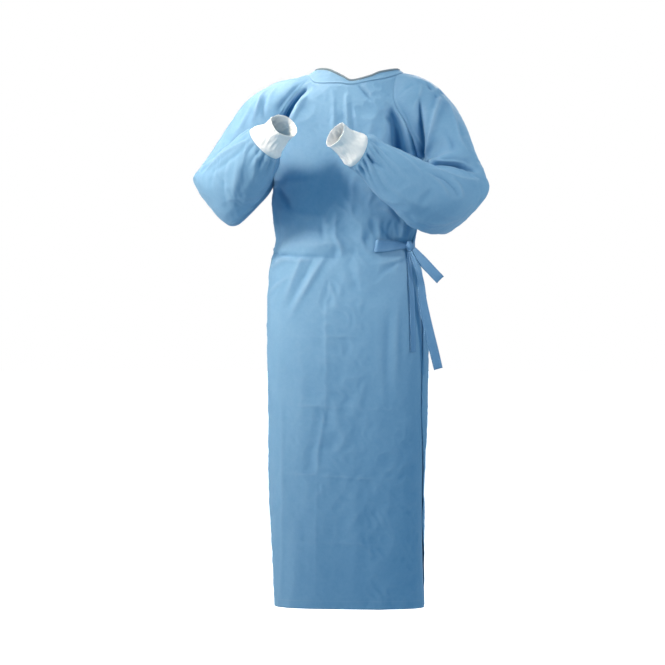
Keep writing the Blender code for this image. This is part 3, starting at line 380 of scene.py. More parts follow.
OVER_PANEL_CREASES = (
    # section degrees, three times; width, width, rise, rise, rise, lean, sharp
    (6.4, -183, 8.4, -184, 10.8, -184, 2.4, 2.6, 0.6, 1.3, 0.6, 0, 1),
    (6.6, -128, 8.6, -130, 10.8, -130, 2.4, 2.6, 0.4, 1, 0.4, 0, 1),
    (6.7, -232, 8.6, -234, 10.8, -232, 2.4, 2.6, 0.4, 0.9, 0.4, 0, 1),
    (8.05, -100, 8.05, -160, 8.06, -225, 2.4, 2.6, 0.6, 1.2, 0.4, 0, 1),
    (8.86, -100, 8.85, -170, 8.87, -240, 2.4, 2.6, 0.8, 1.5, 0.6, 0, 1),
    (9.6, -98, 9.6, -170, 9.62, -245, 2.6, 2.6, 0.6, 1.4, 0.6, 0, 1),
    (10.28, -100, 10.28, -160, 10.3, -225, 2.6, 2.6, 0.2, 0.9, 0.2, 0, 1),
)
RIGHT_SLEEVE_FOLDS = (
    # section column, three times; width, width, rise, rise, rise, lean, sharp
    (8.6, 0.15, 9.53, 0.2, 10.6, 0.32, 4, 4, 3.5, 6.5, 4.5, 0.5, 0.4),
    (9, 0.28, 9.9, 0.37, 10.6, 0.43, 6, 6, -1.5, -3.5, -2, 0, 0.1),
    (10.6, 0.42, 10, 0.56, 9.2, 0.64, 5, 8, 3, 3.5, 0.8, 0.3, 0.3),
    (10.7, 0.6, 10.3, 0.7, 9.7, 0.78, 4, 7, 3, 3, 0.6, 0.3, 0.3),
    (9.5, 0.05, 9.9, 0.06, 10.23, 0.08, 4.2, 4.2, -1.5, -3.5, -1.5, 0, 0.45),
    (1.5, -0.32, 1.93, -0.51, 2.35, -0.57, 4, 5, 3.5, 7.5, 4, 0.4, 0.4),
    (1.63, -0.51, 1.95, -0.62, 2.2, -0.73, 5.1, 6.8, -2.4, -4.7, -1.5, 0, 0.25),
    (10.4, 0.38, 9.73, 0.55, 8.9, 0.62, 7.6, 10.2, 1.5, 4.2, 1.5, 0.2, 0.25),
    (9.7, 0.34, 8.97, 0.5, 8.43, 0.68, 7.6, 10.2, -1.5, -3.2, -0.8, 0, 0.25),
    (1.2, -0.45, 1.45, -0.55, 1.7, -0.64, 4.2, 5.1, 1.5, 3.2, 0.8, 0.2, 0.35),
    (0.47, -0.96, 1.1, -0.94, 1.63, -0.92, 5.1, 6.8, -3.2, -9.6, -6.4, 0, 0.25),
    (2, -0.4, 2.6, -0.42, 3.2, -0.36, 5.1, 6.8, 0.8, 3.9, 1.5, 0.2, 0.25),
    (3.4, -0.5, 4.4, -0.42, 5.6, -0.3, 6.8, 7.6, 0.8, 3.5, 1.3, 0.2, 0.25),
    (5.8, -0.55, 6.5, -0.42, 7.1, -0.26, 6, 6, -1.5, -4.2, -1.5, 0.2, 0.25),
    (7.2, -0.45, 7.7, -0.25, 8, 0, 5.1, 6, 1.3, 3.5, 1.3, 0.2, 0.35),
    (1.5, 0.5, 2.3, 0.72, 3.3, 0.88, 7.6, 9.3, -3.2, -7.2, -4.7, 0.2, 0.25),
    (1.6, 0.3, 2.4, 0.54, 3.4, 0.74, 6.8, 6.8, 3.2, 5.7, 2.4, 0.2, 0.25),
    (1.1, 0.4, 1.4, 0.58, 1.7, 0.76, 4.2, 5.1, 1.5, 3.5, 0.8, 0.2, 0.35),
    (3.5, 0.5, 4.6, 0.6, 5.8, 0.66, 6.8, 7.6, 1.5, 4.2, 1.5, 0.2, 0.25),
    (5.6, 0.35, 6.4, 0.5, 7.1, 0.7, 6.8, 6.8, -1.5, -3.9, -1.3, 0.2, 0.25),
)
LEFT_SLEEVE_FOLDS = (
    # section column, three times; width, width, rise, rise, rise, lean, sharp
    (1.2, -0.96, 2.3, -0.94, 3.4, -0.92, 6.8, 7.6, -2.9, -5.9, -5.9, 0, 0.25),
    (1.8, -0.93, 2.5, -0.92, 3.3, -0.9, 2.5, 3, 0.7, 3.8, 2.2, 0, 0.55),
    (1.47, -0.62, 2.3, -0.8, 3.33, -0.9, 5.1, 7.6, -5.2, -17.9, -22.1, 0.2, 0.45),
    (1.73, -0.32, 2.3, -0.61, 3.33, -0.8, 6.8, 6, 5.9, 11, 7.4, -0.2, 0.25),
    (1.63, -0.37, 1.78, -0.48, 1.93, -0.59, 4.2, 5.1, -1.5, -2.3, -0.8, 0, 0.25),
    (3.5, -0.76, 4.9, -0.54, 6.1, -0.34, 4.2, 5.1, 2.9, 5.6, 5, 0.2, 0.35),
    (6.1, -0.34, 6.12, -0.26, 6, -0.17, 5.1, 4.2, 4.7, 4.4, 1.5, 0, 0.35),
    (6.57, -0.38, 6.62, -0.25, 6.6, -0.11, 4.2, 5.1, -7.4, -12.5, -5.9, 0, 0.45),
    (6.95, -0.44, 7.1, -0.3, 7.1, -0.1, 4.2, 5.1, 2.2, 3.8, 2.1, 0, 0.35),
    (9.43, 0.11, 8.4, -0.08, 7.17, 0.01, 6, 6.8, 0.7, 3.8, 2.9, 0.2, 0.25),
    (9.3, 0.12, 8.87, 0.13, 8.53, 0.22, 3.4, 4.2, 1.5, 4.7, 2.2, 0.2, 0.35),
    (9.07, 0.08, 8.62, 0.06, 8.27, 0.17, 4.2, 4.2, -1.5, -5.9, -3.3, 0, 0.35),
    (8.47, 0, 8.23, 0.05, 8.1, 0.2, 3.4, 4.2, 1.5, 4.1, 1.8, 0.2, 0.35),
    (1.22, -0.27, 1.3, -0.29, 1.38, -0.31, 5.1, 5.1, -4.4, -6.7, -4.4, 0, 0.35),
    (1.49, -0.08, 1.53, -0.1, 1.58, -0.13, 5.1, 5.1, -3.8, -6.2, -3.8, 0, 0.35),
    (1.58, -0.31, 1.63, -0.33, 1.69, -0.35, 4.2, 4.2, -2.9, -4.7, -2.9, 0, 0.35),
    (1.44, -0.38, 1.44, -0.23, 1.47, -0.06, 4.2, 4.2, 1.8, 4.1, 2.2, 0, 0.35),
    (10.9, 0.2, 10.2, 0.12, 9.4, 0.17, 5.1, 6.8, 2.9, 5, 2.1, 0.2, 0.35),
    (11, 0.66, 10.66, 0.6, 10.3, 0.5, 3.5, 5, -6.5, -9.5, -1, 0.3, 0.4),
    (10.9, 0.9, 10.66, 0.86, 10.4, 0.8, 3, 4.5, -4.5, -6.5, -0.8, 0.3, 0.4),
    (11, 0.76, 10.8, 0.75, 10.55, 0.72, 3, 4, -4.5, -6, -0.8, 0.3, 0.4),
    (9.5, 0.06, 10.2, 0.02, 10.9, 0.16, 4, 4, 2, 4, 3, 0.3, 0.3),
    (11, 0.36, 10.78, 0.3, 10.45, 0.17, 3.5, 5, -6, -9, -1, 0.3, 0.4),
    (2.03, -0.17, 3.07, -0.33, 4.2, -0.22, 4.2, 5.1, 2.2, 4.4, 2.9, 0.2, 0.35),
    (1.1, -0.4, 1.4, -0.6, 1.7, -0.78, 4.2, 5.1, 1.5, 3.8, 0.7, 0.2, 0.35),
    (1.17, -0.5, 1.4, -0.66, 1.6, -0.8, 3.4, 4.2, -0.7, -2.6, -0.7, 0, 0.35),
    (0.9, -0.55, 0.92, -0.7, 0.94, -0.84, 4.2, 5.1, -1.5, -2.9, -0.7, 0, 0.35),
    (2.87, -0.52, 3.7, -0.44, 4.5, -0.36, 6, 6.8, -1.5, -3.8, -1.5, 0, 0.25),
    (8.8, 0.45, 9.6, 0.52, 10.4, 0.62, 7.6, 8.5, 0.7, 2.6, 1.2, 0.2, 0.25),
    (1.5, 0.5, 2.3, 0.72, 3.3, 0.88, 7.6, 9.3, -2.9, -7.4, -5.9, 0.2, 0.25),
    (1.6, 0.3, 2.4, 0.54, 3.4, 0.74, 6.8, 6.8, 2.9, 5.6, 2.9, 0.2, 0.25),
    (1.1, 0.4, 1.4, 0.58, 1.7, 0.76, 4.2, 5.1, 1.5, 3.3, 0.7, 0.2, 0.35),
    (3.6, 0.4, 4.7, 0.52, 5.8, 0.58, 6.8, 7.6, 1.5, 3.8, 1.5, 0.2, 0.25),
    (5.8, 0.3, 6.5, 0.46, 7.2, 0.66, 6.8, 6.8, -1.5, -3.8, -1.2, 0.2, 0.25),
    (7.2, 0.4, 8, 0.52, 8.8, 0.62, 7.6, 8.5, 0.8, 3.3, 0.8, 0.2, 0.25),
)

# Cuff profile: share of the length, size against the seam ring, roundness of the flatter side
CUFF_PROFILE = (
    # share, size, squash
    (0, 1, 1),
    (0.15, 0.98, 1),
    (0.32, 0.87, 1.02),
    (0.5, 0.74, 1.06),
    (0.72, 0.68, 1.08),
    (1, 0.71, 1.06),
)

# From the middle of the cuff seam to the middle of the mouth
RIGHT_CUFF_AXIS = (0.045, -0.022, 0.038)
LEFT_CUFF_AXIS = (-0.049, -0.030, 0.031)

# How the mouth of a cuff is turned towards the front: change of its front reach
RIGHT_CUFF_TILT = (0.009, 0.010, 0.010)
LEFT_CUFF_TILT = (-0.004, 0.004, -0.004)


def unit(vectors):
    """Vectors scaled to length one."""
    length = np.linalg.norm(vectors, axis=-1, keepdims=True)
    return vectors / np.maximum(length, 1e-12)


def catmull_rom(before, start, end, after, part):
    """Catmull-Rom cubic between start and end, at a part of the way from 0 to 1."""
    square = part * part
    cube = square * part
    return (
        (2 * cube - 3 * square + 1) * start
        + (cube - 2 * square + part) * (end - before) / 2
        + (3 * square - 2 * cube) * end
        + (cube - square) * (after - start) / 2
    )


def spline(rows, at):
    """Catmull-Rom curve through rows that are one apart, read at any row number."""
    rows = np.asarray(rows, float)
    last = len(rows) - 1
    at = np.clip(np.asarray(at, float), 0, last)
    low = np.minimum(at.astype(int), last - 1)
    part = (at - low).reshape(at.shape + (1,) * (rows.ndim - 1))
    return catmull_rom(*(rows[np.clip(low + step, 0, last)] for step in (-1, 0, 1, 2)), part)


def splines(table, at, firsts, size):
    """Curves through groups of columns of a table: a group starts at one of firsts and has size numbers."""
    groups = np.array(table, float)
    return [spline(groups[:, first : first + size], at) for first in firsts]


def ring_spline(angles, values, at):
    """Periodic Catmull-Rom curve through values at the given angles, read at any angle in degrees."""
    count = len(angles)
    at = np.mod(np.asarray(at, float), 360.0)
    knots = np.append(np.asarray(angles, float), 360.0)
    low = np.clip(np.searchsorted(knots, at, side="right") - 1, 0, count - 1)
    part = ((at - knots[low]) / (knots[low + 1] - knots[low]))[..., None]
    values = np.asarray(values, float)
    return catmull_rom(*(values[(low + step) % count] for step in (-1, 0, 1, 2)), part)


def signed_power(value, power):
    """A power that keeps the sign."""
    return np.sign(value) * np.abs(value) ** power


def sleeve_surface(table, row, column):
    """Point of a sleeve: row along the table, column from -1 (front) over 0 (crown) to 1 (back)."""
    row, column = np.broadcast_arrays(np.asarray(row, float), np.asarray(column, float))
    crown, hinge, front, back = splines(table, row, (0, 3, 6, 9), 3)
    opening, front_form, back_form = (value[..., 0] for value in splines(table, row, (12, 13, 14), 1))
    opening = np.radians(np.clip(opening, 60, 180))
    power = 2 / np.where(column < 0, front_form, back_form)
    opening = np.where(row >= ARMPIT, math.pi, opening)
    along = (crown - hinge) / (1 - np.cos(opening))[..., None]
    middle = crown - along
    angle = column * opening
    reach = np.where((column < 0)[..., None], front, back)
    lift = signed_power(np.cos(angle), power)[..., None]
    side = np.abs(signed_power(np.sin(np.abs(angle)), power))[..., None]
    return middle + lift * along + side * reach


def neck_fade(row):
    """1 at the neck, falling to 0 over the next sections."""
    return np.clip(1 - row / NECK_FADE, 0, 1)[..., None] ** 1.5


def sleeve_points(table, row, column):
    """Point of a sleeve whose top row follows the lower edge of the neck binding."""
    row, column = np.broadcast_arrays(np.asarray(row, float), np.asarray(column, float))
    turn = 90.0 + SLEEVE_NECK_ANGLE * column if table is LEFT_SLEEVE else 270.0 - SLEEVE_NECK_ANGLE * column
    shift = binding_edges(turn)[1] - sleeve_surface(table, np.zeros_like(row), column)
    return sleeve_surface(table, row, column) + neck_fade(row) * shift


def body_surface(row, angle, from_back=False):
    """Point of the body: row from neck to hem, angle in degrees from the middle of the front to +X.

    At the sides the two raglan seams of a sleeve lie apart; from_back takes the rear one.
    """
    row, angle = np.broadcast_arrays(np.asarray(row, float), np.asarray(angle, float))
    turned = np.mod(angle + 90.0, 360.0) - 90.0
    if from_back:
        turned = np.where(turned <= -90.0, turned + 360.0, turned)
    is_front = turned < 90.0 if from_back else turned <= 90.0
    local = np.where(is_front, turned, 180.0 - turned)
    front = is_front[..., None]
    upper = row < ARMPIT
    seam_row = np.minimum(row, ARMPIT)
    low_sides = splines(BODY_SIDES, np.maximum(row, ARMPIT) - ARMPIT, (0, 3), 3)
    sides = []
    for table, low_side in zip((RIGHT_SLEEVE, LEFT_SLEEVE), low_sides):
        seams = [sleeve_points(table, seam_row, edge) for edge in (-1.0, 1.0)]
        sides.append(np.where(upper[..., None], np.where(front, *seams), low_side))
    right, left = sides
    front_middle, back_middle = splines(BODY_MIDDLES, row, (0, 3), 3)
    centre = np.where(front, front_middle, back_middle)
    half_arc, form = (value[..., 0] for value in splines(BODY_MIDDLES, row, (6, 7), 1))
    arc = np.radians(np.where(upper, half_arc, 90.0))
    shoulder_form = 2.0 + (BODY_MIDDLES[ARMPIT][7] - 2.0) * np.clip(row - ARMPIT + 1.5, 0, 1.5) / 1.5
    power = 2 / np.where(upper, shoulder_form, form)
    turn = local / 90.0 * arc
    across = signed_power(np.sin(turn) / np.sin(arc), power)[..., None]
    swell = (np.maximum(np.cos(turn) - np.cos(arc), 0.0) / (1 - np.cos(arc))) ** power
    middle = (right + left) / 2
    return middle + across * (left - right) / 2 + swell[..., None] * (centre - middle)


def binding_edges(angle):
    """Upper and lower edge of the neck binding at an angle round the neck."""
    lines = np.array(BINDING)
    return [ring_spline(lines[:, 6], lines[:, first : first + 3], angle) for first in (0, 3)]


def over_panel_lift(angle):
    """How far the over panel stands off the panel below it, by its angle (negative, to the right)."""
    return OVER_PANEL_LIFT * smooth_step(-np.asarray(angle, float), 105.0, 150.0)


def even_rows(surface, first, last, count):
    """Row numbers at equal steps along the mean of the lines that a surface's columns make."""
    dense = np.linspace(first, last, 401)
    points = surface(dense[:, None])
    step = np.linalg.norm(np.diff(points, axis=0), axis=2).mean(axis=1)
    length = np.append(0.0, np.cumsum(step))
    return np.interp(np.linspace(0.0, length[-1], count + 1), length, dense)


def even_columns(surface, rows, first, last, count):
    """Column numbers at equal steps along every row, from a first to a last number per row."""
    share = np.linspace(0.0, 1.0, 4 * count + 1)
    first = np.broadcast_to(first, rows.shape)[:, None]
    last = np.broadcast_to(last, rows.shape)[:, None]
    dense = first + (last - first) * share
    points = surface(np.broadcast_to(rows[:, None], dense.shape), dense)
    step = np.linalg.norm(np.diff(points, axis=1), axis=2)
    length = np.concatenate([np.zeros((len(rows), 1)), np.cumsum(step, axis=1)], axis=1)
    length /= length[:, -1:]
    apart = 2.0 * np.arange(len(rows))[:, None]
    wanted = np.linspace(0.0, 1.0, count + 1)[None] + apart
    share_of = np.interp(wanted.ravel(), (length + apart).ravel(), np.tile(share, len(rows)))
    share_of = share_of.reshape(wanted.shape)
    share_of[:, 0] = 0.0
    share_of[:, -1] = 1.0
    return first + (last - first) * share_of


def grid_normals(points, closed, flip):
    """Unit normals of a grid, from the steps along and across it; closed rows join first and last column."""
    down = np.gradient(points, axis=0)
    across = np.gradient(points, axis=1)
    wrap = (points[:, 1] - points[:, -2]) / 2
    across[closed, 0] = wrap[closed]
    across[closed, -1] = wrap[closed]
    normal = unit(np.cross(down, across))
    return -normal if flip else normal


def calm(values, closed, passes):
    """Values of a grid evened out: each moves halfway to the mean of its four neighbours, several times."""
    values = values.copy()
    for _ in range(passes):
        mean = values.copy()
        mean[1:-1] += 0.5 * (values[:-2] + values[2:])
        mean[:, 1:-1] += 0.5 * (values[:, :-2] + values[:, 2:])
        weight = np.ones(values.shape[:2])
        weight[1:-1] += 1.0
        weight[:, 1:-1] += 1.0
        ends = 0.5 * (values[:, 1] + values[:, -2])
        for edge in (0, -1):
            mean[closed, edge] += ends[closed]
            weight[closed, edge] += 1.0
        values = mean / weight.reshape(weight.shape + (1,) * (values.ndim - 2))
    return values


def calm_unit(normals, closed):
    """Normals evened out a little and scaled to length one."""
    return unit(calm(normals, closed, 2))


def arc(points, axis):
    """Length along a grid line from its first point, for every point."""
    step = np.linalg.norm(np.diff(points, axis=axis), axis=2)
    start = np.zeros_like(np.take(step, [0], axis=axis))
    return np.concatenate([start, np.cumsum(step, axis=axis)], axis=axis)


def smooth_step(value, low, high):
    """0 below low, 1 above high, and a smooth cubic between them."""
    share = np.clip((np.asarray(value, float) - low) / (high - low), 0.0, 1.0)
    return share * share * (3 - 2 * share)


def waves(place, size, seed, count=12):
    """Unevenness about one high: a sum of plane waves in seeded directions, their lengths near the size."""
    draw = np.random.default_rng(seed)
    total = np.zeros(place.shape[:-1])
    for _ in range(count):
        way = unit(draw.normal(size=3))
        length = size * draw.uniform(0.7, 1.6)
        total += np.sin(place @ way * (2 * math.pi / length) + draw.uniform(0, 2 * math.pi))
    return total / math.sqrt(count)


def crumple(place, size, seed):
    """Small facets with ridges between them: one minus the size of a wave sum, on places bent by another."""
    bend = np.stack([waves(place, 1.8 * size, seed + step, 5) for step in (1, 2, 3)], axis=-1)
    return 1.0 - np.abs(waves(place + 0.22 * size * bend, size, seed, 7))


def fold_height(place, normals, folds, to_space):
    """Height of folds over a grid of places.

    A fold follows a curve through three knots. Across it the height is its rise times
    exp(-(distance / width) ** power), with one flank wider by the lean, and a power from 2, soft, to 1, a
    sharp crease. Along it the rise is the parabola through its start, middle and end values.
    """
    height = np.zeros(place.shape[:2])
    share = np.linspace(0.0, 1.0, 15)
    for line in folds:
        knots = np.reshape(line[:6], (3, 2))
        width_start, width_end, *rises, lean, sharp = line[6:]
        curve = to_space(parabola(share) @ knots)
        reach = 0.0032 * max(width_start, width_end) * (1.0 + abs(lean) + sharp)
        low, high = curve.min(axis=0) - reach, curve.max(axis=0) + reach
        near = np.all((place > low) & (place < high), axis=2)
        spot = place[near]
        run = curve[1:] - curve[:-1]
        offset = spot[:, None] - curve[None, :-1]
        along = np.clip((offset * run).sum(axis=2) / (run * run).sum(axis=1), 0.0, 1.0)
        foot = offset - along[..., None] * run
        distance = np.linalg.norm(foot, axis=2)
        best = distance.argmin(axis=1)
        pick = (np.arange(len(spot)), best)
        at = (best + along[pick]) / len(run)
        side = np.sign((np.cross(run[best], normals[near]) * foot[pick]).sum(axis=1))
        width = 0.001 * (width_start + (width_end - width_start) * at) * (1.0 + lean * side)
        rise = 0.001 * parabola(at) @ np.array(rises)
        height[near] += rise * np.exp(-((distance[pick] / width) ** (2.0 - sharp)))
    return height


def parabola(share):
    """Weights of three values at 0, a half and 1 for the parabola through them."""
    rest = 1 - share
    return np.stack([rest * (1 - 2 * share), 4 * share * rest, share * (2 * share - 1)], axis=-1)


def hang(points):
    """Slow unevenness of hanging cloth, longer down than across."""
    tall = points * (1.0, 1.0, 0.38)
    return sum(height * waves(tall, size, seed) for height, size, seed in HANG_WAVES)


def fine_creases(points, seed):
    """Handling creases in two sizes, stronger in some places than in others."""
    strong = smooth_step(waves(points, 0.20, seed + 9, 6), -0.9, 1.1)
    both = sum(height * crumple(points, size, seed + step) for height, size, step in CRUMPLE_SIZES)
    return (0.35 + 0.65 * strong) * both


class Cloth:
    """One piece of cloth: outer grid, normals, height over the base, rows that close into a ring."""

    def __init__(self, points, closed=None, flip=False):
        self.points = points
        self.closed = np.zeros(len(points), bool) if closed is None else closed
        self.flip = flip
        self.normals = calm_unit(grid_normals(points, self.closed, flip), self.closed)
        self.across = arc(points, 1)
        self.along = arc(points, 0)
        self.height, self.run = np.zeros((2, *points.shape[:2]))
        self.seam, self.hem = np.ones((2, *points.shape[:2]))

    def mark_seam(self, distance, run):
        """Keep the distance to the nearest sewn edge, and the way along it."""
        nearer = distance < self.seam
        self.seam = np.where(nearer, distance, self.seam)
        self.run = np.where(nearer, run, self.run)

    def mark_sides_and_top(self):
        """Keep the seams at both sides and at the neck."""
        self.mark_seam(self.across, self.along)
        self.mark_seam(self.to_right(), self.along)
        self.mark_seam(self.along, self.across)

    def to_right(self):
        """Distance from the last column."""
        return self.across[:, -1:] - self.across

    def to_end(self):
        """Distance from the last row."""
        return self.along[-1:] - self.along

    def raise_cloth(self):
        """Move the points out by the heights and take new normals."""
        # The crease mark is the height over the evened-out height; the material paints a highlight on its
        # ridges and shade in its troughs, and shade in deep folds from the rise mark.
        self.crease = self.height - calm(self.height, self.closed, 14)
        self.points = self.points + self.normals * self.height[..., None]
        self.normals = grid_normals(self.points, self.closed, self.flip)

    def build(self, name, wall, material, turned=()):
        """The closed shell: outer wall, inner wall and edges; turned names the sides that turn in.

        The inner wall follows normals that are evened out, so that it stays plain under sharp folds.
        """
        points, normals = self.points, self.normals
        keys = ("seam", "run", "hem", "crease", "rise")
        marks = (self.seam, self.run, self.hem, self.crease, self.height)
        layers = [self.across - self.across[:, -1:] / 2, -self.along, *marks]
        if turned:
            points, layers = turn_edges(points, normals, layers, turned)
            normals = grid_normals(points, self.closed, self.flip)
        inner = points - calm_unit(normals, self.closed) * wall
        uv = np.stack(layers[:2], axis=-1)
        marks = dict(zip(keys, layers[2:]))
        return shell_object(name, points, inner, self.closed, uv, marks, material, self.flip)


def turn_edges(points, normals, layers, turned):
    """Add a column just before each turned side and one below it, along the inward normal."""
    for edge in turned:
        way = -1 if edge == "right" else 1
        points, normals, *layers = (grid[:, ::way] for grid in (points, normals, *layers))
        step = points[:, 1] - points[:, 0]
        length = np.linalg.norm(step, axis=1, keepdims=True)
        share = np.minimum(EDGE_STEP / length, 0.45)
        before = points[:, 0] + step * share
        below = points[:, 0] - normals[:, 0] * TURN_IN + step / length * TURN_SLANT
        points = np.concatenate([below[:, None], points[:, :1], before[:, None], points[:, 1:]], axis=1)
        normals = np.concatenate([normals[:, :1]] * 3 + [normals[:, 1:]], axis=1)
        for number, layer in enumerate(layers):
            first = layer[:, :1]
            between = first + (layer[:, 1:2] - first) * share
            layers[number] = np.concatenate([first, first, between, layer[:, 1:]], axis=1)
        points, normals, *layers = (grid[:, ::way] for grid in (points, normals, *layers))
    return points, layers


def shell_object(name, outer, inner, closed, uv, marks, material, flip):
    """A mesh object from two grids, joined round their edges; closed rows share first and last column."""
    rows, columns = outer.shape[:2]
    size = rows * columns
    grid = np.arange(size).reshape(rows, columns)
    index = grid.copy()
    index[closed, -1] = index[closed, 0]

    def cells(numbers):
        """Corner numbers of every cell."""
        corners = [numbers[:-1, :-1], numbers[1:, :-1], numbers[1:, 1:], numbers[:-1, 1:]]
        return np.stack(corners, axis=-1).reshape(-1, 4)

    def rims(numbers):
        """Corner numbers of the faces round the edges."""
        open_rows = ~closed[:-1]
        top = [numbers[0, :-1], numbers[0, 1:], numbers[0, 1:] + size, numbers[0, :-1] + size]
        bottom = [numbers[-1, :-1] + size, numbers[-1, 1:] + size, numbers[-1, 1:], numbers[-1, :-1]]
        left = [numbers[:-1, 0] + size, numbers[1:, 0] + size, numbers[1:, 0], numbers[:-1, 0]]
        right = [numbers[:-1, -1], numbers[1:, -1], numbers[1:, -1] + size, numbers[:-1, -1] + size]
        sides = [np.stack(edge, axis=-1)[open_rows] for edge in (left, right)]
        return np.concatenate([np.stack(top, axis=-1), np.stack(bottom, axis=-1), *sides])

    faces = np.concatenate([cells(index), cells(index)[:, ::-1] + size, rims(index)])
    lookup = np.concatenate([cells(grid), cells(grid)[:, ::-1] + size, rims(grid)]) % size
    smooth = np.arange(len(faces)) < 2 * (rows - 1) * (columns - 1)
    if flip:
        faces, lookup = faces[:, ::-1], lookup[:, ::-1]
    vertices = np.concatenate([outer.reshape(-1, 3), inner.reshape(-1, 3)])
    used = np.zeros(len(vertices), bool)
    used[faces] = True
    renumber = np.cumsum(used) - 1
    mesh = bpy.data.meshes.new(name)
    mesh.from_pydata(vertices[used].tolist(), [], renumber[faces].tolist())
    mesh.polygons.foreach_set("use_smooth", smooth)
    layer = mesh.uv_layers.new(name="Cloth")
    layer.uv.foreach_set("vector", uv.reshape(-1, 2)[lookup].ravel().astype(np.float32))
    for key, values in marks.items():
        both = np.concatenate([values.ravel(), values.ravel()])[used]
        mesh.attributes.new(key, "FLOAT", "POINT").data.foreach_set("value", both.astype(np.float32))
    mesh.update()
    mesh.materials.append(material)
    piece = bpy.data.objects.new(name, mesh)
    bpy.context.scene.collection.objects.link(piece)
    return piece


def declare(piece, nodes):
    """Tie a piece to the frame's root and hide the frame nodes it stands for."""
    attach(piece, "root")
    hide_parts(*nodes)


def shoulder_rows():
    """Section numbers over the shoulder, the same for body and sleeves, so that their edges meet."""
    return np.linspace(0, ARMPIT, SHOULDER_STEPS + 1)


def body_rows():
    """Section numbers of the body from the neck to the hem."""
    ring = np.linspace(-80, 80, 9)[None]
    lower = even_rows(lambda rows: body_surface(rows, ring), ARMPIT, LAST_SECTION, SKIRT_STEPS)
    return np.concatenate([shoulder_rows(), lower[1:]])


def pull_columns(points, closed_from, below=SEAM_PULL):
    """Move the first and last column a little into the piece for the seam gap; by below under the armpit."""
    points = points.copy()
    pull = np.where(np.arange(len(points)) <= SHOULDER_STEPS, SEAM_PULL, below)[:closed_from, None]
    for edge, step in ((0, 1), (-1, -2)):
        way = points[:closed_from, step] - points[:closed_from, edge]
        length = np.linalg.norm(way, axis=1, keepdims=True)
        points[:closed_from, edge] += way * np.minimum(pull / length, 0.4)
    return points


def body_panel(first, last, count, neck_first, neck_last, from_back):
    """A body panel between two lines of angles, its top row set on the neck binding."""
    rows = body_rows()
    surface = lambda row, angle: body_surface(row, angle, from_back)
    angles = even_columns(surface, rows, first, last, count)
    grid_row = np.broadcast_to(rows[:, None], angles.shape)
    points = surface(grid_row, angles)
    neck = binding_edges(np.linspace(neck_first, neck_last, count + 1))[1]
    points = points + neck_fade(rows[:, None]) * (neck - points[0])[None]
    return points, grid_row, angles


def front_panel(settings):
    """The front, from raglan seam to raglan seam and down between the side seams."""
    limit = 90.0 - SLEEVE_NECK_ANGLE
    points, row, angle = body_panel(-90.0, 90.0, FRONT_COLUMNS, -limit, limit, False)
    cloth = Cloth(pull_columns(points, None, -0.8 * SEAM_PULL))
    cloth.mark_sides_and_top()
    cloth.hem = cloth.to_end()
    flat = points * (1.0, 0.0, 1.0)
    ahead = np.broadcast_to((0.0, -1.0, 0.0), flat.shape)
    to_space = lambda knots: np.stack([knots[:, 0], np.zeros(len(knots)), knots[:, 1]], axis=1)
    folds = settings.fold_strength * fold_height(flat, ahead, FRONT_FOLDS, to_space)
    creases = settings.crease_strength * fold_height(flat, ahead, FRONT_CREASES, to_space)
    fine = settings.crumple_strength * fine_creases(points, 100)
    own = folds * smooth_step(cloth.seam, 0.0, 0.006) + (creases + fine) * near_edges(cloth)
    under_over = smooth_step(angle, 56, 66) * smooth_step(row, 5.2, 6.0)
    own = np.where(own > 0, own * (1 - 0.9 * under_over), own)
    bow = np.exp(-(((points - BOW_PLACE) / BOW_REACH) ** 2).sum(axis=2))
    cloth.height = own + hang(points) * shared_fade(row, angle) * (1 - 0.8 * bow) - under_band(cloth)
    cloth.raise_cloth()
    return cloth


def near_edges(cloth):
    """0 at the sewn edges, 1 inside them."""
    return smooth_step(cloth.seam, 0.0, SEAM_FADE)


def shared_fade(row, angle):
    """0 at the raglan seams and the neck, where pieces of other normals are joined, and 1 inside."""
    side = np.abs(np.abs(np.mod(angle + 180.0, 360.0) - 180.0) - 90.0)
    beside = smooth_step(side, 0.0, 16.0)
    below = smooth_step(row, 4.3, 5.6)
    return (beside + (1 - beside) * below) * smooth_step(row, 0.1, 1.0)


def back_panel(edges, side, count, folds, creases, settings, over):
    """A back panel from its side seam to its free edge."""
    edge = spline(edges, body_rows())
    start = math.copysign(90.0 + SLEEVE_NECK_ANGLE, side)
    if side > 0:
        points, row, angle = body_panel(side, edge, count, start, edges[0], True)
    else:
        points, row, angle = body_panel(edge, side, count, edges[0], start, True)
    if over:
        normals = grid_normals(points, np.zeros(len(points), bool), False)
        points = points + normals * over_panel_lift(angle)[..., None]
    cloth = Cloth(pull_columns(points, None))
    free, sewn = (cloth.across, cloth.to_right()) if over else (cloth.to_right(), cloth.across)
    cloth.mark_seam(sewn, cloth.along)
    cloth.mark_seam(cloth.along, cloth.across)
    cloth.hem = np.minimum(cloth.to_end(), free + 0.008)
    to_space = lambda knots: body_surface(knots[:, 0], knots[:, 1], True)
    own = settings.fold_strength * fold_height(points, cloth.normals, folds, to_space)
    own += settings.crease_strength * fold_height(points, cloth.normals, creases, to_space)
    own += settings.crumple_strength * fine_creases(points, 100)
    own *= near_edges(cloth)
    if over:
        lapped = smooth_step(-angle, 140.0, 156.0)
        own = np.where(own < 0, own * (1 - 0.6 * lapped), own)
        own -= 0.0025 * (1 - smooth_step(free, 0.0, 0.024))
    else:
        own = np.minimum(own, 0.0002)
    cloth.height = own + hang(points) * shared_fade(row, angle) - under_band(cloth)
    cloth.raise_cloth()
    return cloth


def under_band(cloth):
    """How far the top edge lies in below the neck band."""
    return 0.0009 * (1 - smooth_step(cloth.along, 0.002, 0.009))


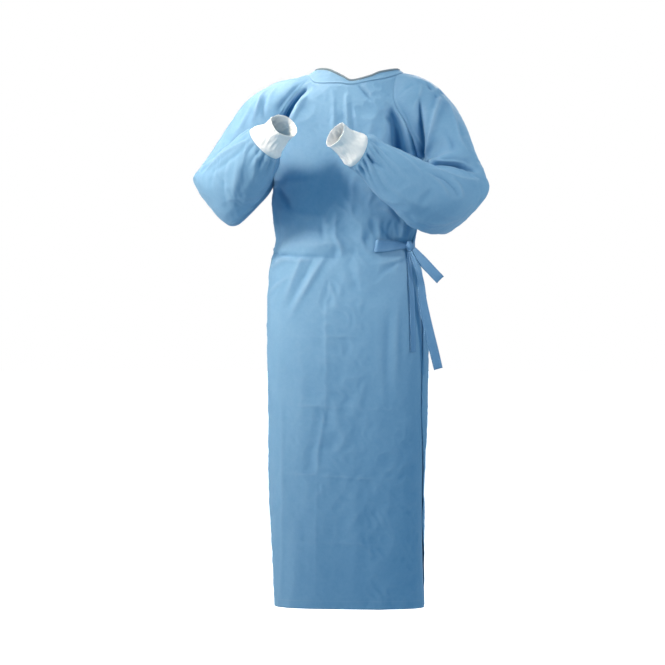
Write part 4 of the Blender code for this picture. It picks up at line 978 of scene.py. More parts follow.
def sleeve_panel(table, folds, flip, seed, settings):
    """A sleeve: open rows over the shoulder, closed rows below the armpit, gathers at the cuff."""
    ring = np.linspace(-0.9, 0.9, 9)[None]
    surface = lambda row, column: sleeve_points(table, row, column)
    lower = even_rows(lambda rows: surface(rows, ring), ARMPIT, LAST_SECTION, ARM_STEPS)
    rows = np.concatenate([shoulder_rows(), lower[1:]])
    columns = even_columns(surface, rows, -1.0, 1.0, SLEEVE_COLUMNS)
    grid_row = np.broadcast_to(rows[:, None], columns.shape)
    points = surface(grid_row, columns)
    closed = np.arange(len(rows)) >= SHOULDER_STEPS
    cloth = Cloth(pull_columns(points, SHOULDER_STEPS), closed, flip)
    cloth.mark_sides_and_top()
    cloth.mark_seam(cloth.to_end(), cloth.across)
    to_space = lambda knots: surface(knots[:, 0], knots[:, 1])
    own = settings.fold_strength * fold_height(points, cloth.normals, folds, to_space)
    own += settings.crumple_strength * fine_creases(points, seed)
    own += 0.0015 * waves(points, 0.10, seed + 3)
    open_seam = smooth_step(np.minimum(cloth.across, cloth.to_right()), 0.0, SEAM_FADE)
    below = smooth_step(grid_row, 4.4, 5.4)
    inner_bend = 1 - 0.75 * smooth_step(np.abs(columns), 0.6, 0.85) * np.exp(-((grid_row - 5.0) / 1.6) ** 2)
    own *= (open_seam + (1 - open_seam) * below) * inner_bend * smooth_step(grid_row, 0.0, 0.35)
    own *= 1 - smooth_step(grid_row, 10.7, 10.98)
    share = cloth.across / cloth.across[:, -1:]
    cloth.height = own + gathers(grid_row, share, seed) - under_band(cloth)
    cloth.raise_cloth()
    return cloth


def gathers(row, share, seed):
    """Uneven gathers above a cuff: arches between sharp valleys, of changing width, length and strength."""
    draw = np.random.default_rng(seed)
    turn = 2 * math.pi * share
    shift = sum(draw.uniform(0.5, 0.9) / k * np.sin(k * turn + draw.uniform(0, 6.28)) for k in (1, 2, 3, 5))
    strength = 0.75 + sum(0.22 * np.sin(k * turn + draw.uniform(0, 6.28)) for k in (2, 3, 7))
    start = 9.7 + sum(0.22 * np.sin(k * turn + draw.uniform(0, 6.28)) for k in (1, 4, 6))
    near = smooth_step(row, 0.0, 1.0) * np.clip((row - start) / (10.75 - start), 0, 1) ** 1.4
    near *= 1 - smooth_step(row, 10.78, 11.0)
    phase = GATHER_COUNT * turn / 2 + shift * 1.6
    return GATHER_DEPTH * near * np.clip(strength, 0.25, 1.2) * (np.abs(np.sin(phase)) ** 0.8 - 0.25)


def cuff_panel(table, axis, tilt, flip, seed):
    """A knit cuff: rings from the sleeve's last section to the mouth, by the cuff profile.

    A ring is centre + size * (across * cos(angle) + squash * reach * |sin(angle)|), and the reach turns by
    the tilt towards the mouth.
    """
    rings, around = CUFF_GRID
    crown, hinge, front, back = np.reshape(table[-1][:12], (4, 3))
    middle = (crown + hinge) / 2
    across = (crown - hinge) / 2
    share = np.linspace(0.0, 1.0, rings)[:, None]
    angle = np.radians(np.linspace(-180.0, 180.0, around))[None]
    known, sizes, squashes = np.transpose(CUFF_PROFILE)
    size = np.interp(share, known, sizes)
    squash = np.interp(share, known, squashes)
    size = calm(np.repeat(size, 3, axis=1), np.zeros(rings, bool), 6)[:, 1:2]
    size = size + (1.0 - size[0]) * (1 - smooth_step(share, 0.0, 0.08))
    turned = np.array(tilt) * smooth_step(share, 0.2, 1.0)[..., None]
    reach = np.where((angle < 0)[..., None], front + turned, back - turned)
    side = np.abs(np.sin(angle))[..., None]
    ring = across * np.cos(angle)[..., None] + squash[..., None] * reach * side
    points = middle + np.array(axis) * share[..., None] + size[..., None] * ring
    cloth = Cloth(points, np.ones(rings, bool), flip)
    puff = 0.0008 * np.exp(-(((share - 0.10) / 0.09) ** 2)) * (1 + 0.6 * np.sin(9 * angle + seed))
    dents = 0.0017 * waves(points, 0.040, seed) * smooth_step(share, 0.0, 0.25)
    bend = 0.25 * waves(points, 0.06, seed + 2)
    folds = 0.00045 * np.sin(17 * (angle + bend)) + 0.0003 * np.sin(29 * (angle - bend) + seed)
    dents = dents + folds * smooth_step(share, 0.02, 0.20)
    roll = 0.0007 * smooth_step(share, 0.90, 0.96)
    cloth.height = puff * smooth_step(share, 0.0, 0.05) + dents + roll
    cloth.seam = cloth.along.copy()
    cloth.hem = cloth.to_end()
    cloth.raise_cloth()
    return cloth


def binding_band(settings, shade_strip):
    """The neck binding: a folded band over the panels' top edge, or the narrow grey strip of painted shade
    along its upper edge.
    """
    angle = np.linspace(OVER_PANEL_EDGE[0], UNDER_PANEL_EDGE[0], NECK_POINTS)
    upper, lower = binding_edges(angle)
    lift = over_panel_lift(angle)[:, None]
    down = unit(lower - upper)
    width = np.linalg.norm(lower - upper, axis=1, keepdims=True)
    if shade_strip:
        reach = np.linspace(-0.0012, settings.shade_strip_width, SHADE_STRIP_ROWS)[:, None, None]
        level, bulge = 0.0019, 0.0005
    else:
        reach = np.linspace(0.0, 1.0, BAND_ROWS)[:, None, None] * (width + 0.0016)[None]
        level, bulge = 0.0005, 0.0004
    base = Cloth(upper[None] + down[None] * np.linspace(0, 1, 5)[:, None, None] * width[None])
    out = base.normals[2][None]
    points = upper[None] + down[None] * reach + out * (lift[None] + level)
    cloth = Cloth(points)
    cloth.normals = np.broadcast_to(out, points.shape).copy()
    across = np.linspace(-1, 1, len(points))[:, None]
    cloth.height = (bulge + 0.00022 * waves(points, 0.016, 5)) * (1 - across**4)
    cloth.seam = np.minimum(cloth.along, cloth.to_end())
    cloth.run = cloth.across
    cloth.raise_cloth()
    return cloth


def strap_band(path, seed):
    """A tie along a smooth path: half-width vectors to both sides, its edges turned into low ridges."""
    at = even_rows(lambda rows: splines(path, rows, (0,), 3)[0], 0, len(path) - 1, STRAP_STEPS)
    centres, widths = splines(path, at, (0, 3), 3)
    across = np.linspace(-1, 1, STRAP_POINTS)[None, :, None]
    points = centres[:, None] + widths[:, None] * across
    cloth = Cloth(points)
    inside = np.linalg.norm(widths, axis=1)[:, None] * (1 - np.abs(across[..., 0]))
    # These edge ridges also get a painted highlight, through the crease mark.
    ridge = 0.0009 * np.exp(-(((inside - 0.0014) / 0.0009) ** 2))
    crush = 0.0003 * waves(points, 0.03, seed)
    cloth.height = ridge - 0.0002 + crush * smooth_step(inside, 0.0, 0.004)
    cloth.seam = inside
    cloth.run = cloth.along
    cloth.raise_cloth()
    return cloth


def knot_bundle(name, material):
    """The knot: an egg of cloth with pleats along it and one turn of strap round its waist.

    Radius = size * root(1 - 0.62 share^2) * (1 + pleats), and the turn of strap adds a flat band that is
    wider on one side, so that the wrap runs slantwise.
    """
    rings, around = KNOT_GRID
    share = np.linspace(-1.0, 1.0, rings)[:, None]
    angle = np.linspace(0.0, 2 * math.pi, around)[None]
    egg = np.sqrt(np.maximum(0.0, 1.0 - 0.62 * share**2))
    ends = np.sqrt(np.clip(1.0 - np.abs(share) ** 10, 0.004, 1.0))
    pleats = 0.07 * np.cos(3 * angle + 1.2 * share) + 0.035 * np.cos(8 * angle - 2.0 * share)
    slant = share - 0.20 * np.sin(angle + 0.7)
    wrap = smooth_step(-np.abs(slant), -0.46, -0.40)
    fine = 0.03 * np.cos(16 * slant + 0.6 * np.sin(2 * angle)) * wrap
    radius = egg * ends * (0.84 + pleats * (1 - 0.7 * wrap)) + 0.16 * wrap + fine
    form = np.stack([radius * np.cos(angle), radius * np.sin(angle), share * np.ones_like(angle)], axis=-1)
    outer = form * KNOT_SIZE + KNOT_PLACE
    inner = (outer - KNOT_PLACE) * (0.86, 0.86, 0.90) + KNOT_PLACE
    uv = np.stack([0.008 * angle + 0 * share, 0.011 * share + 0 * angle], axis=-1)
    zero, one = np.zeros((rings, around)), np.ones((rings, around))
    # The crease mark follows the radius, so the material paints highlight on the knot's swellings and shade
    # in its dips.
    marks = {"seam": one, "run": zero, "hem": one, "crease": 0.001 * (radius - 0.9)}
    return shell_object(name, outer, inner, np.ones(rings, bool), uv, marks, material, False)


class Nodes:
    """Short words for the nodes of one tree."""

    def __init__(self, tree):
        self.tree = tree

    def add(self, kind, **settings):
        """A new node; a setting whose name is a socket goes to the socket, linked or as a value."""
        node = self.tree.nodes.new(kind)
        inputs = {key: value for key, value in settings.items() if not hasattr(node, key)}
        for key, value in settings.items():
            if key not in inputs:
                setattr(node, key, value)
        for key, value in inputs.items():
            self.put(value, node.inputs[key.replace("_", " ")])
        return node

    def put(self, value, socket):
        """Link a socket or set a value."""
        if isinstance(value, bpy.types.NodeSocket):
            self.tree.links.new(value, socket)
        else:
            socket.default_value = value

    def math(self, operation, first, second=0.0, third=0.0):
        """The result of a Math node."""
        node = self.add("ShaderNodeMath", operation=operation)
        self.fill(node, {0: first, 1: second, 2: third})
        return node.outputs[0]

    def scaled(self, vector, factors):
        """A vector times another, part by part."""
        node = self.add("ShaderNodeVectorMath", operation="MULTIPLY")
        self.fill(node, {0: vector, 1: factors})
        return node.outputs[0]

    def split(self, vector):
        """The parts of a vector."""
        return self.add("ShaderNodeSeparateXYZ", Vector=vector).outputs

    def noise(self, vector, scale, detail, roughness):
        """A noise value from 0 to 1."""
        node = self.tree.nodes.new("ShaderNodeTexNoise")
        self.fill(node, {"Vector": vector, "Scale": scale, "Detail": detail, "Roughness": roughness})
        return node.outputs["Fac"]

    def mix(self, share, first, second):
        """A colour between two, by a share."""
        node = self.add("ShaderNodeMix", data_type="RGBA")
        self.fill(node, {0: share, 6: first, 7: second})
        return node.outputs[2]

    def attribute(self, name):
        """The value of a mesh attribute."""
        return self.add("ShaderNodeAttribute", attribute_name=name).outputs["Fac"]

    def clamp(self, value):
        """A value kept from 0 to 1."""
        node = self.add("ShaderNodeClamp")
        self.put(value, node.inputs[0])
        return node.outputs[0]

    def fill(self, node, values):
        """Link or set inputs of a node by their names."""
        for key, value in values.items():
            self.put(value, node.inputs[key])

    def group(self, tree, **values):
        """A group node with its inputs linked or set."""
        node = self.tree.nodes.new("ShaderNodeGroup")
        node.node_tree = tree
        for key, value in values.items():
            self.put(value, node.inputs[key.replace("_", " ")])
        return node.outputs


def new_group(name, inputs, outputs):
    """An empty group with named value sockets; a name that ends in 'place' is a vector."""
    tree = bpy.data.node_groups.new(name, "ShaderNodeTree")
    for way, names in (("INPUT", inputs), ("OUTPUT", outputs)):
        for socket in names:
            kind = "NodeSocketVector" if socket.endswith("place") else "NodeSocketFloat"
            tree.interface.new_socket(socket, in_out=way, socket_type=kind)
    nodes = Nodes(tree)
    given = tree.nodes.new("NodeGroupInput").outputs
    result = tree.nodes.new("NodeGroupOutput").inputs
    return nodes, given, result


def nonwoven_group():
    """Pressed nonwoven cloth: small embossed points, short fibres and slow mottling of the web."""
    name = "nonwoven cloth"
    if name in bpy.data.node_groups:
        return bpy.data.node_groups[name]
    nodes, given, result = new_group(name, ("Cloth place", "Pitch"), ("Tint", "Height", "Roughness"))
    place = given["Cloth place"]
    turn = nodes.math("DIVIDE", 2 * math.pi, given["Pitch"])
    part = nodes.split(place)
    first, second = (
        nodes.math("SINE", nodes.math("MULTIPLY", nodes.math(way, part[0], part[1]), turn))
        for way in ("ADD", "SUBTRACT")
    )
    points = nodes.math("MULTIPLY", first, second)
    points = nodes.math("POWER", nodes.math("MAXIMUM", points, 0.0), 1.5)
    fibre = nodes.noise(nodes.scaled(place, (1.0, 0.35, 1.0)), 1500.0, 2.0, 0.6)
    cross = nodes.noise(nodes.scaled(place, (0.35, 1.0, 1.0)), 1100.0, 2.0, 0.6)
    web = nodes.noise(place, 130.0, 3.0, 0.6)
    slow = nodes.noise(place, 11.0, 2.0, 0.5)
    tint = nodes.math("MULTIPLY_ADD", fibre, 0.26, -0.42)
    for effect, strength in ((web, 0.42), (slow, 0.30), (points, -0.16)):
        tint = nodes.math("MULTIPLY_ADD", effect, strength, tint)
    height = nodes.math("MULTIPLY_ADD", points, -0.55, nodes.math("MULTIPLY", fibre, 0.5))
    height = nodes.math("MULTIPLY_ADD", cross, 0.4, height)
    rough = nodes.math("MULTIPLY_ADD", web, 0.16, nodes.math("MULTIPLY", points, -0.10))
    nodes.put(tint, result["Tint"])
    nodes.put(height, result["Height"])
    nodes.put(rough, result["Roughness"])
    return nodes.tree


def stitch_group():
    """A row of stitches: dashes along an edge, at an offset from it, in metres."""
    if "stitches" in bpy.data.node_groups:
        return bpy.data.node_groups["stitches"]
    names = ("Distance", "Run", "Offset", "Width", "Pitch")
    nodes, given, result = new_group("stitches", names, ("Mask", "Groove"))
    away = nodes.math("ABSOLUTE", nodes.math("SUBTRACT", given["Distance"], given["Offset"]))
    line = nodes.math("SUBTRACT", 1.0, nodes.math("DIVIDE", away, given["Width"]))
    line = nodes.clamp(nodes.math("MULTIPLY", line, 2.0))
    beat = nodes.math("FRACT", nodes.math("DIVIDE", given["Run"], given["Pitch"]))
    dash = nodes.math("SUBTRACT", 0.5, nodes.math("ABSOLUTE", nodes.math("SUBTRACT", beat, 0.5)))
    dash = nodes.clamp(nodes.math("MULTIPLY_ADD", dash, 14.0, -1.4))
    nodes.put(nodes.math("MULTIPLY", line, dash), result["Mask"])
    wide = nodes.math("MULTIPLY", given["Width"], 3.0)
    groove = nodes.math("SUBTRACT", 1.0, nodes.math("DIVIDE", away, wide))
    nodes.put(nodes.clamp(groove), result["Groove"])
    return nodes.tree


def knit_group():
    """Rib knit: tall ribs with the small slanting stitches of each rib, from the place along the cloth. Its
    tint paints shade in the grooves between the ribs, with random tone on top.
    """
    nodes, given, result = new_group("rib knit", ("Cloth place", "Pitch"), ("Tint", "Height"))
    part = nodes.split(given["Cloth place"])
    across = nodes.math("DIVIDE", part[0], given["Pitch"])
    down = nodes.math("DIVIDE", part[1], nodes.math("MULTIPLY", given["Pitch"], 0.6))
    rib = nodes.math("ABSOLUTE", nodes.math("SINE", nodes.math("MULTIPLY", across, math.pi)))
    slant = nodes.math("ABSOLUTE", nodes.math("SUBTRACT", nodes.math("FRACT", across), 0.5))
    wave = nodes.math("MULTIPLY", nodes.math("ADD", down, nodes.math("MULTIPLY", slant, 0.9)), 2 * math.pi)
    loop = nodes.math("MULTIPLY_ADD", nodes.math("SINE", wave), 0.5, 0.5)
    fuzz = nodes.noise(given["Cloth place"], 2200.0, 2.0, 0.6)
    stitch = nodes.math("MULTIPLY", loop, rib)
    height = nodes.math("MULTIPLY_ADD", stitch, 0.35, nodes.math("POWER", rib, 0.6))
    height = nodes.math("MULTIPLY_ADD", fuzz, 0.25, height)
    slow = nodes.noise(given["Cloth place"], 60.0, 2.0, 0.5)
    # Tint: lower between the ribs, painted shade in the grooves, plus random tone.
    tint = nodes.math("MULTIPLY_ADD", rib, 0.45, nodes.math("MULTIPLY", slow, 0.3))
    tint = nodes.math("MULTIPLY_ADD", fuzz, 0.25, tint)
    nodes.put(tint, result["Tint"])
    nodes.put(height, result["Height"])
    return nodes.tree


def new_material(name):
    """A new material, words for its nodes and its shader."""
    material = bpy.data.materials.new(name)
    material.use_nodes = True
    return material, Nodes(material.node_tree), material.node_tree.nodes["Principled BSDF"]


def darker(colour, shades):
    """An opaque colour whose parts are multiplied by shades."""
    return (*(value * shade for value, shade in zip(colour, shades)), 1.0)


def paler(colour, shades):
    """An opaque colour whose distances from white are multiplied by shades."""
    return (*(1 - (1 - value) * shade for value, shade in zip(colour, shades)), 1.0)


def cloth_material(name, colour, settings):
    """Nonwoven cloth: two shades mottled by the web, a painted highlight on ridges, painted shade in troughs
    and deep folds, with stitches.
    """
    if name in bpy.data.materials:
        return bpy.data.materials[name]
    material, nodes, shader = new_material(name)
    place = nodes.add("ShaderNodeUVMap", uv_map="Cloth").outputs[0]
    web = nodes.group(nonwoven_group(), Cloth_place=place, Pitch=settings.emboss_pitch)
    seam, hem, run, crease, rise = (nodes.attribute(key) for key in ("seam", "hem", "run", "crease", "rise"))
    sewn, hemmed = (
        nodes.group(
            stitch_group(), Distance=distance, Run=way, Offset=offset, Width=STITCH_WIDTH, Pitch=STITCH_PITCH
        )
        for distance, way, offset in ((seam, run, SEAM_STITCHES), (hem, nodes.split(place)[0], HEM_STITCHES))
    )
    thread = nodes.math("MAXIMUM", sewn["Mask"], hemmed["Mask"])
    groove = nodes.math("MAXIMUM", sewn["Groove"], hemmed["Groove"])
    # Ridge mask: where the colour is paled, a painted highlight on ridges.
    ridge = nodes.clamp(nodes.math("MULTIPLY", crease, 330.0))
    # Trough mask: where the colour is darkened, painted shade in troughs.
    trough_shade = nodes.clamp(nodes.math("MULTIPLY", crease, -330.0))
    # Deep fold mask: darker still in deep folds, painted shade where the folds hide the light.
    deep_fold_shade = nodes.clamp(nodes.math("MULTIPLY_ADD", rise, -110.0, -0.30))
    share = nodes.clamp(nodes.math("MULTIPLY_ADD", web["Tint"], 1.5, 0.55))
    base = nodes.mix(share, darker(colour, (0.80, 0.86, 0.91)), paler(colour, (0.93, 0.91, 0.90)))
    # A paler blue: painted highlight on ridges, and the real colour of the stitch thread.
    thread_and_ridge_highlight = paler(colour, (0.80, 0.80, 0.80))
    for mask, strength, shade in (
        (ridge, 0.30, thread_and_ridge_highlight),
        (trough_shade, 0.40, darker(colour, (0.52, 0.68, 0.80))),
        (deep_fold_shade, 0.85, darker(colour, (0.10, 0.34, 0.52))),
        (thread, 0.60, thread_and_ridge_highlight),
    ):
        base = nodes.mix(nodes.math("MULTIPLY", mask, strength), base, shade)
    height = nodes.math("MULTIPLY_ADD", groove, -1.6, web["Height"])
    height = nodes.math("MULTIPLY_ADD", thread, 1.2, height)
    bump = nodes.add("ShaderNodeBump", Height=height, Strength=0.55, Distance=0.00022)
    nodes.fill(shader, {
        "Base Color": base,
        "Roughness": nodes.math("ADD", web["Roughness"], 0.57),
        "Normal": bump.outputs[0],
        "Specular IOR Level": 0.32,
        "Sheen Weight": 0.22,
        "Sheen Roughness": 0.45,
        "Sheen Tint": paler(colour, (0.6, 0.6, 0.6)),
    })
    return material


def knit_material(settings):
    """White rib knit of the cuffs.

    A material of this name that is already there comes first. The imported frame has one, plain white, so the
    ribs show only without it.
    """
    if "knit" in bpy.data.materials:
        return bpy.data.materials["knit"]
    material, nodes, shader = new_material("knit")
    place = nodes.add("ShaderNodeUVMap", uv_map="Cloth").outputs[0]
    knit = nodes.group(knit_group(), Cloth_place=place, Pitch=settings.rib_pitch)
    colour = tuple(settings.knit_white)
    bump = nodes.add("ShaderNodeBump", Height=knit["Height"], Strength=0.6, Distance=0.0004)
    nodes.fill(shader, {
        # Base colour: white on the ribs, greyed in the grooves between them as painted shade.
        "Base Color": nodes.mix(nodes.clamp(knit["Tint"]), darker(colour, (0.7, 0.7, 0.7)), (*colour, 1.0)),
        "Roughness": nodes.math("MULTIPLY_ADD", knit["Tint"], 0.08, 0.88),
        "Normal": bump.outputs[0],
        "Specular IOR Level": 0.20,
        "Subsurface Weight": 0.60,
        "Subsurface Radius": (1.0, 1.0, 1.0),
        "Subsurface Scale": 0.006,
        "Sheen Weight": 0.25,
        "Sheen Roughness": 0.5,
    })
    return material


def colour_setting(name, words, value):
    """A colour that the user may change."""
    return bpy.props.FloatVectorProperty(
        name=name, description=words, subtype="COLOR", size=3, default=value, min=0.0, max=1.0
    )


def length_setting(name, words, value):
    """A length that the user may change."""
    return bpy.props.FloatProperty(name=name, description=words, unit="LENGTH", default=value, min=0.0)


def factor_setting(name, words, value):
    """A factor that the user may change."""
    return bpy.props.FloatProperty(
        name=name, description=words, subtype="FACTOR", default=value, min=0.0, max=2.0
    )


def power_setting(name, words, value):
    """The power of a light."""
    return bpy.props.FloatProperty(name=name, description=words, unit="POWER", default=value, min=0.0)


class GownSettings(bpy.types.PropertyGroup):
    """Sizes, strengths and colours of the gown and its stage."""

    cloth_blue: colour_setting("Cloth blue", "Colour of the panels and sleeves", (0.185, 0.390, 0.610))
    strap_blue: colour_setting("Strap blue", "Colour of the ties", (0.120, 0.300, 0.540))
    binding_blue: colour_setting("Binding blue", "Colour of the neck band", (0.200, 0.405, 0.620))
    # The grey strip along the neck's upper edge paints the shade of that edge.
    edge_shade_grey: colour_setting("Edge shade grey", "Colour of the grey strip of painted shade along the neck edge", (0.150, 0.200, 0.240))
    knit_white: colour_setting("Knit white", "Colour of the cuffs", (0.920, 0.930, 0.935))
    cloth_wall: length_setting("Cloth wall", "Thickness of panels and sleeves", 0.0010)
    knit_wall: length_setting("Knit wall", "Thickness of the cuffs", 0.0016)
    strap_wall: length_setting("Strap wall", "Thickness of the ties", 0.0012)
    band_wall: length_setting("Band wall", "Thickness of the neck band", 0.0010)
    # Width of the grey strip of painted shade along the neck's upper edge.
    shade_strip_width: length_setting("Edge shade width", "Width of the grey strip of painted shade along the neck edge", 0.0042)
    emboss_pitch: length_setting("Emboss pitch", "Distance between pressed points of the cloth", 0.0018)
    rib_pitch: length_setting("Rib pitch", "Distance between the ribs of the cuffs", 0.0019)
    fold_strength: factor_setting("Folds", "Strength of the folds", 1.0)
    crease_strength: factor_setting("Pack creases", "Strength of the creases left by the pack", 1.8)
    crumple_strength: factor_setting("Crumple", "Strength of the small handling creases", 1.0)
    key_power: power_setting("Key light", "Power of the soft light from the upper left", 2.3)
    fill_power: power_setting("Fill light", "Power of the soft light from the right", 1.4)
    back_power: power_setting("Back light", "Power of the soft light from behind", 60.0)
    side_power: power_setting("Side light", "Power of the soft light from the left", 32.0)
    top_power: power_setting("Top light", "Power of the soft light from above", 0.85)
    sky: factor_setting("Sky", "Strength of the even light from all sides", 0.47)


class GOWN_OT_body(bpy.types.Operator):
    """Build the front and the two wrapped back panels"""

    bl_idname = "gown.body"
    bl_label = "Front and backs"

    def execute(self, context):
        settings = context.scene.gown
        material = cloth_material("gown cloth", tuple(settings.cloth_blue), settings)
        wall = settings.cloth_wall
        front = front_panel(settings)
        piece = front.build("front_cloth", wall, material, ("left", "right"))
        declare(piece, ["front"])
        under = back_panel(
            UNDER_PANEL_EDGE, 90.0, UNDER_PANEL_COLUMNS, UNDER_PANEL_FOLDS, (), settings, False
        )
        piece = under.build("back_left_cloth", wall, material, ("left",))
        declare(piece, ["back_left"])
        over = back_panel(
            OVER_PANEL_EDGE, -90.0, OVER_PANEL_COLUMNS, OVER_PANEL_FOLDS, OVER_PANEL_CREASES, settings, True
        )
        piece = over.build("back_right_cloth", wall, material, ("right",))
        declare(piece, ["back_right"])
        return {"FINISHED"}


class GOWN_OT_sleeves(bpy.types.Operator):
    """Build the two raglan sleeves with their gathers"""

    bl_idname = "gown.sleeves"
    bl_label = "Sleeves"

    def execute(self, context):
        settings = context.scene.gown
        material = cloth_material("gown cloth", tuple(settings.cloth_blue), settings)
        for name, table, folds, flip, seed, flat, area in (
            ("sleeve_right", RIGHT_SLEEVE, RIGHT_SLEEVE_FOLDS, True, 300, (0.44, 0.70), 0.235),
            ("sleeve_left", LEFT_SLEEVE, LEFT_SLEEVE_FOLDS, False, 400, (0.46, 0.75), 0.255),
        ):
            sleeve = sleeve_panel(table, folds, flip, seed, settings)
            piece = sleeve.build(name + "_cloth", settings.cloth_wall, material)
            declare(piece, [name])
        return {"FINISHED"}


class GOWN_OT_cuffs(bpy.types.Operator):
    """Build the two knit cuffs"""

    bl_idname = "gown.cuffs"
    bl_label = "Cuffs"

    def execute(self, context):
        settings = context.scene.gown
        material = knit_material(settings)
        for name, table, axis, tilt, flip, seed, flat, area in (
            ("cuff_right", RIGHT_SLEEVE, RIGHT_CUFF_AXIS, RIGHT_CUFF_TILT, True, 2, (0.210, 0.068), 0.0141),
            ("cuff_left", LEFT_SLEEVE, LEFT_CUFF_AXIS, LEFT_CUFF_TILT, False, 4, (0.200, 0.067), 0.0132),
        ):
            cuff = cuff_panel(table, axis, tilt, flip, seed)
            piece = cuff.build(name + "_knit", settings.knit_wall, material)
            declare(piece, [name])
        return {"FINISHED"}


class GOWN_OT_neck(bpy.types.Operator):
    """Build the neck band and the grey strip of painted shade along its upper edge"""

    bl_idname = "gown.neck"
    bl_label = "Neck binding"

    def execute(self, context):
        settings = context.scene.gown
        band = cloth_material("neck band", tuple(settings.binding_blue), settings)
        # The strip's grey colour is painted shade along the band's upper edge.
        shade_strip = cloth_material("neck shade strip", tuple(settings.edge_shade_grey), settings)
        edge = binding_band(settings, True).build("neck_shade_strip", settings.band_wall, shade_strip)
        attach(edge, "root")
        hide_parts("neck_binding")
        piece = binding_band(settings, False).build("neck_band", settings.band_wall, band)
        declare(piece, ["neck_binding"])
        return {"FINISHED"}


class GOWN_OT_bow(bpy.types.Operator):
    """Build the tied bow: two loops, two tails, the strap from the back and the knot"""

    bl_idname = "gown.bow"
    bl_label = "Bow"

    def execute(self, context):
        settings = context.scene.gown
        material = cloth_material("tie cloth", tuple(settings.strap_blue), settings)
        seed = 50
        for name, path, flat, held in STRAPS:
            seed += 1
            piece = strap_band(path, seed).build(name + "_strap", settings.strap_wall, material)
            declare(piece, [name])
        piece = knot_bundle("tie_knot_wrap", material)
        declare(piece, ["tie_knot"])
        return {"FINISHED"}


class GOWN_OT_stage(bpy.types.Operator):
    """Build the pale floor, the soft lights, the even sky and the camera"""

    bl_idname = "gown.stage"
    bl_label = "Stage"

    def execute(self, context):
        settings = context.scene.gown
        scene = context.scene
        scene.view_settings.view_transform = "Standard"
        floor = studio_floor()
        soft_light("key", (-1.6, -1.6, 1.00), (-0.20, -0.14, -0.28), 0.45, settings.key_power, 32)
        soft_light("side", (-2.7, -0.5, -0.1), (0.0, 0.0, -0.5), 1.0, settings.side_power)
        soft_light("top", (-0.75, 0.25, 1.45), (-0.20, -0.04, -0.06), 0.35, settings.top_power, 20)
        soft_light("fill", (2.6, -1.2, 0.5), (0.34, -0.05, -0.12), 0.8, settings.fill_power, 26)
        soft_light("back", (0.9, 3.0, 1.5), (0.0, 0.0, -0.5), 1.0, settings.back_power)
        world = bpy.data.worlds.new("studio")
        world.use_nodes = True
        scene.world = world
        nodes = Nodes(world.node_tree)
        ground = world.node_tree.nodes["Background"]
        seen = nodes.add("ShaderNodeLightPath").outputs["Is Camera Ray"]
        span = nodes.math("MULTIPLY_ADD", seen, 1.0 - settings.sky, settings.sky)
        cool = nodes.mix(seen, SKY_COLOUR, (1.0, 1.0, 1.0, 1.0))
        nodes.fill(ground, {"Color": cool, "Strength": span})
        camera = bpy.data.cameras.new("camera")
        camera.lens = CAMERA_LENS
        camera.sensor_width = 36.0
        camera.clip_end = 100.0
        eye = bpy.data.objects.new("camera", camera)
        eye.location = CAMERA_PLACE
        eye.rotation_euler = (math.pi / 2, 0.0, 0.0)
        scene.collection.objects.link(eye)
        scene.camera = eye
        return {"FINISHED"}


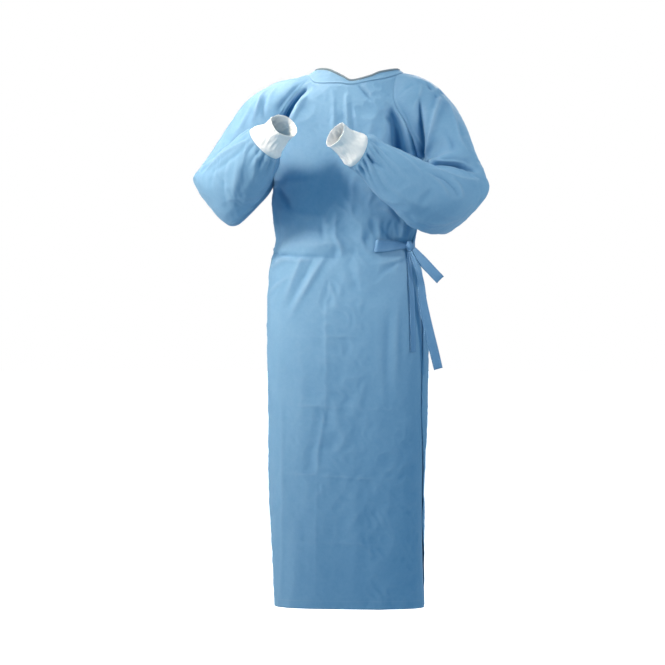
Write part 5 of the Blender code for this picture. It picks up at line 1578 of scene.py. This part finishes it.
def studio_floor():
    """A flat round floor far wider than the view, white towards its edge."""
    turn = np.linspace(0, 2 * math.pi, FLOOR_SIDES + 1)[:-1]
    circle = np.stack([np.cos(turn), np.sin(turn)], axis=-1)
    flat = (np.array(FLOOR_RINGS)[:, None, None] * circle[None]).reshape(-1, 2)
    vertices = [(0.0, 0.0, FLOOR_LEVEL)] + [(x, y, FLOOR_LEVEL) for x, y in flat]
    sides = [(step, (step + 1) % FLOOR_SIDES) for step in range(FLOOR_SIDES)]
    faces = [(0, 1 + here, 1 + beside) for here, beside in sides]
    for ring in range(len(FLOOR_RINGS) - 1):
        low = 1 + FLOOR_SIDES * ring
        high = low + FLOOR_SIDES
        faces += [(low + here, high + here, high + beside, low + beside) for here, beside in sides]
    mesh = bpy.data.meshes.new("floor")
    mesh.from_pydata(vertices, [], faces)
    material, nodes, shader = new_material("floor")
    part = nodes.split(nodes.add("ShaderNodeTexCoord").outputs["Object"])
    squares = [nodes.math("MULTIPLY", value, value) for value in part[:2]]
    away = nodes.math("SQRT", nodes.math("ADD", *squares))
    far = nodes.clamp(nodes.math("MULTIPLY_ADD", away, 1.8, -0.1))
    seen = nodes.add("ShaderNodeLightPath").outputs["Is Camera Ray"]
    nodes.fill(shader, {
        "Base Color": (0.93, 0.93, 0.93, 1.0),
        "Roughness": 0.9,
        "Emission Color": (1.0, 1.0, 1.0, 1.0),
        "Emission Strength": nodes.math("MULTIPLY", far, seen),
    })
    mesh.materials.append(material)
    floor = bpy.data.objects.new("floor", mesh)
    bpy.context.scene.collection.objects.link(floor)
    return floor


def soft_light(name, place, target, size, power, spread=180):
    """A square area light that looks at a point, with its beam's width in degrees."""
    light = bpy.data.lights.new(name, "AREA")
    light.size = size
    light.energy = power
    light.spread = math.radians(spread)
    light.color = LAMP_COLOUR
    lamp = bpy.data.objects.new(name, light)
    lamp.location = place
    lamp.visible_camera = False
    way = [end - start for start, end in zip(place, target)]
    length = math.sqrt(sum(part * part for part in way))
    lamp.rotation_euler = (math.acos(-way[2] / length), 0.0, math.atan2(way[1], way[0]) - math.pi / 2)
    bpy.context.scene.collection.objects.link(lamp)


class GOWN_PT_panel(bpy.types.Panel):
    """Sizes, colours and building steps of the gown"""

    bl_label = "Surgical gown"
    bl_idname = "GOWN_PT_panel"
    bl_space_type = "VIEW_3D"
    bl_region_type = "UI"
    bl_category = "Gown"

    def draw(self, context):
        settings = context.scene.gown
        for key in GownSettings.__annotations__:
            self.layout.prop(settings, key)
        for operator in OPERATORS:
            self.layout.operator(operator.bl_idname)


OPERATORS = (GOWN_OT_stage, GOWN_OT_body, GOWN_OT_sleeves, GOWN_OT_cuffs, GOWN_OT_neck, GOWN_OT_bow)
CLASSES = (GownSettings, *OPERATORS, GOWN_PT_panel)


def register():
    """Register the classes and hang the settings on the scene."""
    for item in CLASSES:
        bpy.utils.register_class(item)
    bpy.types.Scene.gown = bpy.props.PointerProperty(type=GownSettings)


def unregister():
    """Remove the settings and the classes."""
    del bpy.types.Scene.gown
    for item in reversed(CLASSES):
        bpy.utils.unregister_class(item)


def main():
    """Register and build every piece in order."""
    register()
    bpy.ops.gown.stage()
    bpy.ops.gown.body()
    bpy.ops.gown.sleeves()
    bpy.ops.gown.cuffs()
    bpy.ops.gown.neck()
    bpy.ops.gown.bow()


if __name__ == "__main__":
    main()
